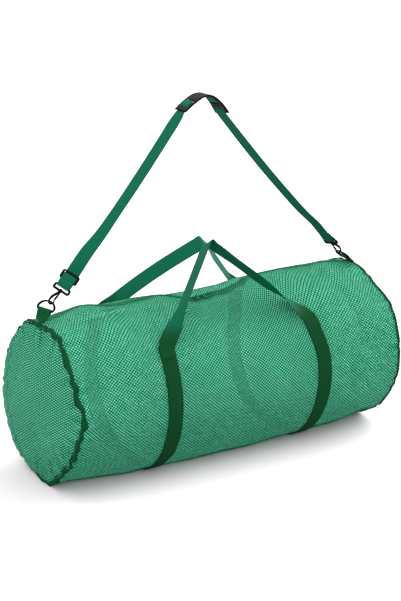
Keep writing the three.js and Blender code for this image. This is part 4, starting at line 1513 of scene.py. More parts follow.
@dataclass
class EndBinding:
    """Ruffled tape bound round an end seam and stitched down."""

    shape: BagShape
    wardrobe: Wardrobe
    end: End
    wide: float
    ruffle: float
    stand: float
    count: int = 420
    half: float = 0.55
    flat_length: float = 1.19
    stitch_pitch: float = 4.2
    profile: tuple[tuple[float, float, float], ...] = (
        (-1.0, 1.0, 1.0), (-0.66, 2.0, 0.7), (-0.3, 2.6, 0.35), (0.06, 2.5, 0.3), (0.34, 0.9, 0.5),
        (0.46, -2.6, 0.7), (0.44, -6.4, 1.0),
    )

    def build(self) -> Piece:
        """Makes the tape and its stitches.

        Returns:
            The tape.
        """
        deg = np.arange(self.count) / self.count * 360
        a = np.radians(deg)
        phase = 0.9 * self.end.value
        swell = 0.62 + 0.38 * np.sin(4 * a + 1.2 + np.sin(2 * a))
        wave = swell * np.sin(34 * a + phase + 2.6 * np.sin(3 * a)) + 0.6 * np.sin(19 * a - phase + 2 * np.sin(2 * a))
        other = swell * np.sin(29 * a + 1 + 2.4 * np.sin(2 * a)) + 0.6 * np.sin(17 * a + 1.5 * np.sin(3 * a))
        face = self.end.value * self.shape.half_length
        columns = tuple((inward * self.wide, out * self.stand, loose) for inward, out, loose in self.profile)
        rows = []
        for inward, out, loose in columns:
            shake = self.ruffle * loose * np.where(inward < 0, wave, other)
            lift = 0.3 * self.ruffle * loose * np.where(inward < 0, other, wave)
            seat = self.shape.point(face, deg, out + np.abs(lift) * 0.7)
            seat[:, 0] += self.end.value * (inward + shake)
            seat[:, 2] = np.maximum(seat[:, 2], self.half)
            rows.append(seat)
        grid = np.stack(rows, axis=1)
        round_way = np.roll(grid, -1, 0) - np.roll(grid, 1, 0)
        across = np.gradient(grid, axis=1)
        normals = unit(np.cross(round_way, across)) * -self.end.value
        outward = grid - np.array([face - self.end.value * 30, 0, self.shape.axis_height])
        if float((normals * outward).sum()) < 0:
            normals = -normals
        length = deg / 360 * 2 * math.pi * self.shape.side_radius
        width = np.linspace(-11, 11, len(columns))
        uv = np.stack(np.broadcast_arrays(width[None, :], length[:, None]), axis=-1) * MM
        draft = Draft()
        slab(draft, grid, normals, self.half, uv, wrap=True)
        piece = draft.build(f"binding_{self.end.word}", self.wardrobe.binding)
        set_piece(piece, [f"end_binding_{self.end.word}"])
        seam = Draft()
        line = np.vstack([grid[:, 1], grid[:1, 1]])
        up = np.vstack([normals[:, 1], normals[:1, 1]])
        stitches(seam, line + up * self.half, up, self.stitch_pitch)
        set_piece(seam.build(f"binding_stitches_{self.end.word}", self.wardrobe.thread), [])
        return piece


@dataclass
class ZipFastener:
    """Zip along the top: tapes, teeth, the net's turned hems, sliders and pullers."""

    shape: BagShape
    wardrobe: Wardrobe
    reach: float = 421.0
    tooth_pitch: float = 1.5
    stitch_pitch: float = 4.0
    slider_x: float = -30.0

    def edge(self, x: Array, across: Array, out: Array) -> Array:
        """Points beside the slit.

        Args:
            x: Places along the bag.
            across: Distance from the slit's middle, toward the front.
            out: Distance outward from the net.

        Returns:
            Points of the bag.
        """
        deg = self.shape.zip_line.eased(x) + np.degrees(across / self.shape.side_radius)
        return self.shape.point(x, deg, out)

    def strip(
        self,
        name: str,
        x: Array,
        across: Array,
        out: Array,
        half: float,
        material: Material,
        nodes: Sequence[str],
    ) -> Piece:
        """Long strip of cloth beside the slit.

        Args:
            name: Name of the piece.
            x: Places along the bag, one per row.
            across: Distances from the slit's middle, rows by columns.
            out: Heights over the net, rows by columns.
            half: Half thickness.
            material: Finish.
            nodes: Nodes that it stands for.

        Returns:
            The piece.
        """
        grid = self.edge(np.broadcast_to(x[:, None], across.shape), across, out)
        normals = unit(np.cross(np.gradient(grid, axis=0), np.gradient(grid, axis=1)))
        normals *= np.sign(normals[..., 2:3])
        uv = np.stack(np.broadcast_arrays(across, x[:, None]), axis=-1) * MM
        draft = Draft()
        slab(draft, grid, normals, half, uv)
        piece = draft.build(name, material)
        set_piece(piece, nodes)
        wide = float(np.mean(across[:, -1] - across[:, 0])) * MM
        return piece

    def build(self) -> None:
        """Makes all the pieces of the zip."""
        x = np.linspace(-self.reach, self.reach, 340)
        columns = np.linspace(-15, 15, 9)
        flat = np.broadcast_to(columns, (len(x), 9))
        under = np.full(flat.shape, -3.6)
        self.strip("zip_tapes", x, flat, under, 0.4, self.wardrobe.zip_tape, ["zip_tape"])
        swell = 0.55 + 0.45 * np.sin(x / 37 + 2.0 * np.sin(x / 90))
        wave = swell * (np.sin(x / 8.3 + 1.6 * np.sin(x / 23)) + 0.8 * np.sin(x / 13.7 + 1.0))
        share = np.linspace(0, 1, 7)[None, :]
        for side in Side:
            sign = 1 if side is Side.FRONT else -1
            loose = (wave if side is Side.FRONT else 0.5 * np.roll(wave, 40))[:, None]
            across = sign * (1.4 + 1.3 * loose * (1 - share) ** 2 + 10.4 * share)
            out = 0.4 + (0.9 + 0.9 * loose) * (1 - share) ** 2 + 0.5 * loose * np.sin(share * math.pi * 2)
            name = f"net_hem_{side.value}"
            self.strip(name, x, across, out, 0.35, self.wardrobe.hem, [])
            row = Draft()
            line = self.edge(x, across[:, 4], out[:, 4] + 0.4)
            up = unit(line - np.stack([x, x * 0, x * 0 + self.shape.axis_height], axis=1))
            up[:, 0] = 0
            stitches(row, line, up, self.stitch_pitch)
            set_piece(row.build(f"hem_stitches_{side.value}", self.wardrobe.thread), [])
        self.teeth()
        for word, place, body in (("left", self.slider_x - 9, -1), ("right", self.slider_x + 9, 1)):
            self.slider(word, place, body)

    def teeth(self) -> None:
        """Makes the coil as two rows of interlocked teeth."""
        x = np.arange(-self.reach, self.reach, self.tooth_pitch)
        side = np.where(np.arange(len(x)) % 2 == 0, 1.0, -1.0)
        along = np.array([-0.55, 0.55])
        across = np.array([-0.7, 2.3])
        out = np.array([-2.9, -0.6])
        corners = []
        for i in range(8):
            dx, dy, dz = along[i & 1], across[(i >> 1) & 1], out[(i >> 2) & 1]
            corners.append(self.edge(x + dx * (1.0 if dz < -1 else 0.7), side * dy, np.full(len(x), dz)))
        points = np.stack(corners, axis=1)
        box = np.array([[0, 2, 3, 1], [4, 5, 7, 6], [0, 1, 5, 4], [2, 6, 7, 3], [0, 4, 6, 2], [1, 3, 7, 5]])
        flipped = box[:, ::-1]
        order = np.where((side > 0)[:, None, None], flipped[None], box[None])
        faces = (np.arange(len(x))[:, None, None] * 8 + order).reshape(-1, 4)
        uv = np.repeat(np.stack([x * 0, x], axis=1) * MM, 8, axis=0)
        draft = Draft()
        draft.add(points.reshape(-1, 3), [faces], uv)
        set_piece(draft.build("zip_teeth", self.wardrobe.zip_teeth, 30.0), ["zip_coil"])

    def slider(self, word: str, x: float, facing: int) -> None:
        """Makes one slider and its puller.

        Args:
            word: Left or right.
            x: Place along the bag.
            facing: Which way it closes, along X.
        """
        seat, ahead = self.edge(np.array([x, x + 4]), np.zeros(2), np.full(2, 0.8))
        along = unit(ahead - seat)
        up = square_to(seat - np.array([x, 0, self.shape.axis_height]), along)
        place = Place(seat, along, np.cross(up, along))
        body = Draft()
        span = np.linspace(-6, 6, 13)
        width = 0.62 + 0.38 * np.cos(span / 6 * 1.25) + 0.06 * facing * span / 6
        path = place.world(np.stack([span, span * 0, span * 0 + 1.9], axis=1))
        sweep(body, path, up, Section(4.4, 1.5, 0.55, 16), width * (1 - (np.abs(span) / 6.2) ** 8 * 0.6))
        bridge = np.array([[-4, 0, 3.0], [-2.6, 0, 4.6], [0, 0, 5.2], [2.6, 0, 4.6], [4, 0, 3.0]])
        sweep(body, place.world(smooth_path(bridge, 0.6)), place.heading((0, 1, 0)), Section(1.4, 0.7, 0.7, 10))
        piece = body.build(f"slider_{word}", self.wardrobe.zip_teeth, 50.0)
        set_piece(piece, [f"zip_slider_{word}"])
        pull = Draft()
        half = np.array([(1.2, 0.5, 4.4), (2.6, -3, 4.3), (3.0, -10, 3.6), (1.6, -13.5, 3.2)])
        loop = np.vstack([half, half[::-1] * [-1, 1, 1]])
        ring = smooth_path(loop + [facing * 1.5, 0, 0], 0.8, closed=True)
        sweep(pull, place.world(ring), up, Section(1.1, 0.6, 0.7, 8), closed=True)
        blade = np.array([(facing * 1.5, -5.5, 4.0), (facing * 1.5, -12.0, 3.4)])
        sweep(pull, place.world(smooth_path(blade, 1.0)), up, Section(2.4, 0.5, 0.6, 10))
        set_piece(pull.build(f"puller_{word}", self.wardrobe.zip_teeth, 50.0), [f"zip_puller_{word}"])


# Webbing


@dataclass
class Band:
    """Webbing band sewn round the front, underside and back."""

    shape: BagShape
    wardrobe: Wardrobe
    end: End
    width: float = 38.0
    thick: float = 1.8
    top_share: float = 5 / 36
    stations: int = 230
    stitch_pitch: float = 4.4

    @property
    def centre(self) -> float:
        """Place along the bag."""
        return self.shape.band_left_x if self.end is End.LEFT else self.shape.band_right_x

    def build(self) -> Piece:
        """Makes the band and its two rows of stitches.

        Returns:
            The band.
        """
        share = np.linspace(self.top_share - 0.01, 1 - self.top_share + 0.01, self.stations)
        deg = self.shape.line(np.full(self.stations, self.centre), share)
        low, high = (self.shape.point(self.centre + side, deg, 1.3) for side in (-12, 12))
        middle = (low + high) / 2
        middle[:, 2] = np.maximum(middle[:, 2], self.thick / 2)
        across = high - low
        across[:, 2] *= smoothstep(middle[:, 2], 5, 40)
        ribbon = Ribbon(middle, unit(across), self.width, self.thick, step=8.0)
        node = f"band_{self.end.word}"
        piece = ribbon.piece(f"{node}_webbing", self.wardrobe.band, "band", node, held="stretched")
        seam = Draft()
        sign = 1.0 if float((ribbon.face[10] * [0, -1, 0]).sum()) > 0 else -1.0
        for place in (-0.84, 0.84):
            points, face = ribbon.edge(place, 0.02, 0.98, sign * self.thick / 2)
            clear = points[:, 2] > 6
            split = np.flatnonzero(~clear)
            for run in (slice(0, split[0]), slice(split[-1] + 1, None)):
                stitches(seam, points[run], sign * face[run], self.stitch_pitch)
        set_piece(seam.build(f"{node}_stitches", self.wardrobe.thread), [])
        return piece


@dataclass(frozen=True)
class Twist:
    """Quarter turn of a handle's leg: where it starts and stops, which way, and how much is made low down."""

    start: float
    stop: float
    over: float
    held: float = 1.0

    def angle(self, t: Array) -> Array:
        """Turn in radians at shares of the leg."""
        early = self.held * smoothstep(t, self.start, self.stop)
        return self.over * math.pi / 2 * (early + (1 - self.held) * smoothstep(t, 0.75, 1.0))


@dataclass
class CarryHandle:
    """Webbing handle sewn over the tops of both bands and pulled up to a folded peak."""

    shape: BagShape
    wardrobe: Wardrobe
    side: Side
    peak: tuple[float, float, float]
    bow: float
    turn: float
    left_twist: Twist
    right_twist: Twist
    width: float = 38.0
    thick: float = 1.8
    seat: float = 3.8
    foot_share: float = 5.35 / 36
    leave_share: float = 5 / 36
    stitch_pitch: float = 3.6

    def leg(self, foot_x: float, twisting: Twist) -> tuple[Array, Array]:
        """Stations of one leg from its foot on a band up to the peak.

        Args:
            foot_x: Place of the band.
            twisting: Its quarter turn.

        Returns:
            Places and directions across, as for the front of the bag.
        """
        x = np.full(4, foot_x)
        shares = np.linspace(self.foot_share + 0.004, self.leave_share, 4)
        flat = self.shape.point(x, self.shape.line(x, shares), self.seat)
        leave = flat[-1]
        forward = 1 if self.side is Side.FRONT else -1
        peak = np.array(self.peak) * [1, forward, 1]
        rise = unit([0, peak[1] - leave[1], peak[2] - leave[2]])
        outward = np.array([0, -rise[2], rise[1]])
        toward = math.copysign(1, peak[0] - leave[0])
        stop = peak - 6.5 * rise - [toward * 9, 0, 0]
        t = np.linspace(0, 1, 21)[1:, None]
        whole = 1 - self.turn / 2
        early = t * t / (2 * self.turn) / whole
        share = np.where(t < self.turn, early, (t - self.turn / 2) / whole)
        places = leave + (stop - leave) * np.hstack([share, t, t])
        places = places + outward * (self.bow * np.sin(math.pi * t))
        twist = twisting.angle(t)
        sideways = np.array([toward, 0, 0])
        across = sideways * np.cos(twist) + outward * np.sin(twist)
        places = np.vstack([flat, places])
        across = np.vstack([np.broadcast_to(sideways, (4, 3)), across])
        mirror = np.array([1, forward, 1])
        return places * mirror, across * mirror

    def build(self) -> Piece:
        """Makes the handle with its foot stitching.

        Returns:
            The handle.
        """
        left, left_across = self.leg(self.shape.band_left_x, self.left_twist)
        right, right_across = self.leg(self.shape.band_right_x, self.right_twist)
        peak = np.array(self.peak)
        shoulders = [peak + (leg[-1] - peak) * [0.52, 0.27, 0.27] for leg in (left, right)]
        top = np.stack([shoulders[0], peak, shoulders[1]])
        top_across = np.broadcast_to(left_across[-1], (3, 3))
        if float(left_across[-1] @ right_across[-1]) < 0:
            right_across = -right_across
        places = np.vstack([left, top, right[::-1]])
        across = np.vstack([left_across, top_across, right_across[::-1]])
        ribbon = Ribbon(places, across, self.width, self.thick)
        # Painted shade: each leg is darkened over its last 40 to 100 mm toward its foot.
        end_gap = np.minimum(ribbon.at, ribbon.length - ribbon.at)
        tone = 1 - smoothstep(end_gap, 40, 100)
        node = f"handle_{self.side.value}"
        piece = ribbon.piece(f"{node}_webbing", self.wardrobe.webbing, "webbing", node, tone, held="hung")
        self.sew(ribbon)
        return piece

    def sew(self, ribbon: Ribbon) -> None:
        """Sews each foot down with a crossed box.

        Args:
            ribbon: The handle's strip.
        """
        seam = Draft()
        foot = 30 / ribbon.length
        for start, stop in ((0.004, foot), (1 - foot, 0.996)):
            middle = int(np.searchsorted(ribbon.at, (start + stop) / 2 * ribbon.length))
            outward = ribbon.path[middle] - np.array([ribbon.path[middle][0], 0, self.shape.axis_height])
            sign = 1.0 if float(ribbon.face[middle] @ outward) > 0 else -1.0
            lift = sign * self.thick / 2
            for place in (-0.8, 0.8):
                points, face = ribbon.edge(place, start, stop, lift)
                stitches(seam, points, sign * face, self.stitch_pitch)
            low, face = ribbon.edge(-0.8, start, stop, lift)
            high, _ = ribbon.edge(0.8, start, stop, lift)
            slide = np.linspace(0, 1, len(low))[:, None]
            for one, other in ((low, high), (high, low)):
                stitches(seam, one * (1 - slide) + other * slide, sign * face, self.stitch_pitch)
            for i in (0, -1):
                bar = low[i] + (high[i] - low[i]) * np.linspace(0, 1, 6)[:, None]
                stitches(seam, bar, np.repeat(sign * face[[i]], 6, axis=0), self.stitch_pitch)
        set_piece(seam.build(f"handle_{self.side.value}_stitches", self.wardrobe.thread), [])


# Strap fittings

FRONTWARD = np.array([0.0, -1.0, 0.0])
EYE_BAR = 5.5
BOSS_Y = 5.8
BOSS_HALF = 2.0
HOOK_REACH = 32.6
HOOK_ASIDE = 0.4


@dataclass
class StrapEnd:
    """Where the strap is hooked on at one end of the bag: directions of ring, hook and eye."""

    end: End
    pull: Array
    ring_along: Array
    ring_up: Array
    ring_origin: Array
    hook_along: Array
    hook_across: Array
    eye_along: Array
    eye_across: Array

    @property
    def boss(self) -> Array:
        """Middle of the hook's swivel boss."""
        return self.pull - HOOK_REACH * self.hook_along + HOOK_ASIDE * self.hook_across

    @property
    def eye(self) -> Array:
        """Middle of the strap's eye."""
        return self.boss - BOSS_Y * self.eye_along

    @property
    def bar(self) -> Array:
        """Middle of the bar that the strap turns round."""
        return self.eye - EYE_BAR * self.eye_along

    @classmethod
    def left(cls, pad_start: Array) -> "StrapEnd":
        """Left end, its hook twisted a little by the strap.

        Args:
            pad_start: Where the strap meets the pad.

        Returns:
            The end.
        """
        pull = np.array([-400.5, 0, 409])
        ring_along = unit([0.51, -0.84, -0.16])
        ring_up = square_to([0.74, 0, 0.67], ring_along)
        along = unit([-0.76, 0, -0.65])
        rise = unit(pad_start - np.array([-368, 0, 438]))
        eye_across = square_to([0.612, -0.667, -0.424], rise)
        return cls(
            End.LEFT,
            pull,
            ring_along,
            ring_up,
            pull - 4 * ring_along - 21.2 * ring_up,
            along,
            square_to([0.648, 0.08, -0.758], along),
            square_to(along, eye_across),
            eye_across,
        )

    @classmethod
    def right(cls) -> "StrapEnd":
        """Right end, its ring edge on.

        Returns:
            The end.
        """
        pull = np.array([394.0, 0, 410])
        ring_up = unit([-0.737, 0, 0.676])
        along = unit([0.674, 0, -0.739])
        return cls(
            End.RIGHT,
            pull,
            FRONTWARD,
            ring_up,
            pull - 21.4 * ring_up,
            along,
            square_to([-0.739, 0, -0.674], along),
            along,
            square_to([0.19, -0.966, 0.17], along),
        )


@dataclass
class RingAndTab:
    """D-ring in a webbing tab at the top of an end seam."""

    shape: BagShape
    wardrobe: Wardrobe
    strap_end: StrapEnd
    wire: float = 2.3
    width: float = 32.0
    thick: float = 1.4
    stitch_pitch: float = 3.4
    outline: tuple[tuple[float, float], ...] = (
        (-18.6, 0), (-6, 0), (6, 0), (18.6, 0), (20.2, 5), (16.8, 14), (8, 20.4), (0, 21.4), (-8, 20.4),
        (-16.8, 14), (-20.2, 5),
    )

    def build(self) -> None:
        """Makes the ring, the tab and the tab's stitches."""
        word = self.strap_end.end.word
        place = Place(self.strap_end.ring_origin, self.strap_end.ring_along, self.strap_end.ring_up)
        flat = np.array([(x, y, 0.0) for x, y in self.outline])
        ring = Draft()
        path = smooth_path(flat, 1.2, closed=True)
        stout = 1 + 0.25 * smoothstep(path[:, 1], 2, 6) * (1 - smoothstep(path[:, 1], 15, 19))
        sweep(ring, place.world(path), place.heading((0, 0, 1)), Section(self.wire, self.wire), stout, closed=True)
        set_piece(ring.build(f"ring_{word}", self.wardrobe.metal), [f"d_ring_{word}"])
        ribbon = self.tab()
        cloth = {"held": "folded", "rests_on": [f"d_ring_{word}"]}
        ribbon.piece(f"tab_{word}_webbing", self.wardrobe.tab, "webbing", f"tab_{word}", **cloth)
        seam = Draft()
        for start, stop in ((0.02, 0.2), (0.8, 0.98)):
            for share in (-0.76, 0.76):
                for lift in (-0.7, 0.7):
                    points, face = ribbon.edge(share, start, stop, lift)
                    stitches(seam, points, np.sign(lift) * face, self.stitch_pitch, 2.2)
        set_piece(seam.build(f"tab_{word}_stitches", self.wardrobe.thread), [])

    def tab(self) -> Ribbon:
        """Strip of the tab, from the seam up round the ring's bar and back.

        Returns:
            The strip.
        """
        end = self.strap_end.end
        base = self.shape.point(end.value * (self.shape.half_length - 4), 0.0, 4.2)
        climb = self.strap_end.ring_origin - base
        reach = float(np.linalg.norm(climb))
        up = climb / reach
        wrap = self.wire + 0.45 + self.thick / 2
        route = [(0.0, -1.2), (reach * 0.45, -1.3), (reach * 0.75, -2.0)]
        for k in range(7):
            angle = -math.pi / 2 + k / 6 * math.pi
            route.append((reach + wrap * math.cos(angle), wrap * math.sin(angle)))
        route += [(reach * 0.75, 2.0), (reach * 0.45, 1.3), (0.0, 1.2)]
        places, sides = [], []
        for s, h in route:
            blend = float(smoothstep(s, 0, reach * 0.8))
            across = unit(FRONTWARD * (1 - blend) + self.strap_end.ring_along * blend)
            lean = square_to(up, across)
            places.append(base + up * min(s, reach) + lean * max(s - reach, 0) + np.cross(across, lean) * h)
            sides.append(across)
        return Ribbon(np.array(places), np.array(sides), self.width, self.thick, 7, 1.6)


@dataclass
class SnapHook:
    """Swivel snap hook: strap eye, hook on its stem and sprung gate."""

    wardrobe: Wardrobe
    strap_end: StrapEnd
    wire: float = 2.3
    hook_wire: float = 2.2
    eye_half: float = 18.6
    corner: float = 3.0
    bore: float = 2.9
    boss: float = 4.6
    stem: float = 1.9
    head: float = 3.4
    shoulder: float = 4.2
    play: float = 0.3
    gate_pivot: tuple[float, float] = (3.0, 9.6)
    gate_tip: tuple[float, float] = (2.9, 26.8)
    hook_line: tuple[tuple[float, float], ...] = (
        (-0.6, 6), (-3.4, 11), (-6.2, 18), (-7.5, 25), (-7, 31), (-4.6, 35.4), (-0.4, 37), (3.9, 35.3), (6.3, 31),
        (6.5, 25.4),
    )

    def build(self) -> None:
        """Makes the eye, the hook and the gate."""
        end = self.strap_end
        word = end.end.word
        eye = self.eye(Place(end.eye, end.eye_across, end.eye_along))
        set_piece(eye.build(f"eye_{word}", self.wardrobe.metal), [f"hook_eye_{word}"])
        place = Place(end.boss, end.hook_across, end.hook_along)
        hook = self.hook(place, math.acos(min(1.0, float(end.hook_along @ end.eye_along))))
        set_piece(hook.build(f"hook_{word}", self.wardrobe.metal, 45.0), [f"hook_body_{word}"])
        body = Body.GATE_LEFT if end.end is End.LEFT else Body.GATE_RIGHT
        gate = self.gate(place).build(f"gate_{word}", self.wardrobe.metal, 45.0)
        set_piece(gate, [f"hook_gate_{word}"], body)

    def eye(self, place: Place) -> Draft:
        """Rounded frame for the strap with the swivel's boss.

        Args:
            place: Local axes of the eye.

        Returns:
            Its mesh.
        """
        draft = Draft()
        points = rounded_frame(self.eye_half, EYE_BAR, self.corner)
        stout = 1 + 0.35 * smoothstep(points[:, 1], -EYE_BAR + 0.5, 0)
        sweep(draft, place.world(points), place.heading((0, 0, 1)), Section(self.wire, self.wire), stout, closed=True)
        low, high = BOSS_Y - BOSS_HALF, BOSS_Y + BOSS_HALF
        heights = np.array([low, low, low + 0.5, high - 0.5, high, high])
        radii = np.array([self.bore, self.boss - 0.5, self.boss, self.boss, self.boss - 0.5, self.bore])
        a = np.arange(24) / 24 * 2 * math.pi
        ring = np.stack(
            np.broadcast_arrays(radii[:, None] * np.cos(a), heights[:, None], radii[:, None] * np.sin(a)), axis=-1
        )
        index = np.arange(len(radii) * 24).reshape(len(radii), 24)
        quads = tube_faces(np.vstack([index, index[:1]]))
        draft.add(place.world(ring.reshape(-1, 3)), [quads], ring.reshape(-1, 3)[:, :2] * MM)
        return draft

    def hook(self, place: Place, tilt: float) -> Draft:
        """Spine, nose, shoulder and swivel stem.

        Args:
            place: Local axes of the hook.
            tilt: Angle between hook and eye.

        Returns:
            Its mesh.
        """
        draft = Draft()
        shoulder = BOSS_HALF + self.play + self.shoulder * math.tan(tilt)
        head = -BOSS_HALF - self.play - self.head * math.tan(tilt)
        line = np.array([(x, y, 0.0) for x, y in self.hook_line])
        path = smooth_path(line, 1.0)
        share = np.linspace(0, 1, len(path))
        scale = 1.0 - 0.12 * smoothstep(share, 0.7, 1.0) + 0.4 * (1 - smoothstep(share, 0.36, 0.5))
        scale[-1] *= 0.7
        sweep(draft, place.world(path), place.heading((0, 0, 1)), Section(self.hook_wire, self.hook_wire, 0.85), scale)
        top, stout = self.gate_pivot[1] - 1.5, self.shoulder
        for profile in (
            ((head - 0.5, self.stem), (shoulder + 1, self.stem)),
            ((head - 1.8, 2.4), (head - 1.4, 3.3), (head - 0.6, self.head), (head, 3.2)),
            ((shoulder, 3.7), (shoulder + 0.5, stout), (top - 0.6, stout), (top, 3.7)),
        ):
            post(draft, place, (0, 1, 0), profile)
        return draft

    def gate(self, place: Place) -> Draft:
        """Lever with its pivot eye and thumb nub.

        Args:
            place: Local axes of the hook.

        Returns:
            Its mesh.
        """
        draft = Draft()
        (pu, py), (tu, ty) = self.gate_pivot, self.gate_tip
        line = smooth_path(np.array([(pu, py, 0), (pu + 0.2, (py + ty) / 2, 0), (tu, ty, 0)]), 1.2)
        share = np.linspace(0, 1, len(line))
        scale = (0.6 + 0.4 * smoothstep(share, 0, 0.3)) * (1 - 0.4 * smoothstep(share, 0.5, 0.85))
        scale[-1] = 0.5
        sweep(draft, place.world(line), place.heading((0, 0, 1)), Section(2.7, 2.0), scale)
        post(draft, place, (0, 0, 1), ((-1.8, 1.0), (-1.6, 1.25), (1.6, 1.25), (1.8, 1.0)), (pu, py, 0))
        nub = smooth_path(np.array([(tu + out, ty - 4.4, 0) for out in (0.6, 2.2, 3.5)]), 0.5)
        taper = np.linspace(1, 0.8, len(nub))
        sweep(draft, place.world(nub), place.heading((0, 0, 1)), Section(1.2, 1.2, 0.6), taper)
        return draft


# Shoulder strap


@dataclass
class PadLine:
    """Middle line of the pad over the top of the strap."""

    points: tuple[tuple[float, float], ...] = ((-62, 799), (-36, 817), (-10, 829), (8, 829), (30, 812), (52, 783))
    slots: tuple[tuple[float, float], ...] = ((11, 18), (30, 37))

    def __post_init__(self) -> None:
        """Smooths the line."""
        rows = np.array([(x, 0.0, z) for x, z in self.points])
        self.path = smooth_path(rows, 1.0)
        self.at = distances(self.path)
        along = unit(np.gradient(self.path, self.at, axis=0))
        self.face = np.stack([-along[:, 2], along[:, 1] * 0, along[:, 0]], axis=1)

    @property
    def length(self) -> float:
        """Length of the pad."""
        return float(self.at[-1])

    def across(self, s: Array) -> Array:
        """Directions across the pad at distances along it: it turns a little toward its right end."""
        tilt = smoothstep(s, 0.5 * self.length, self.length)[..., None] * [0.15, 0.0, 0.13]
        return unit(FRONTWARD + tilt)

    def sample(self, s: Array, lift: Array) -> Array:
        """Points along the line, lifted off it.

        Args:
            s: Distances along the line.
            lift: Heights over it.

        Returns:
            Points of the bag.
        """
        path = np.stack([np.interp(s, self.at, self.path[:, k]) for k in range(3)], axis=-1)
        face = np.stack([np.interp(s, self.at, self.face[:, k]) for k in range(3)], axis=-1)
        return path + unit(face) * np.asarray(lift)[..., None]


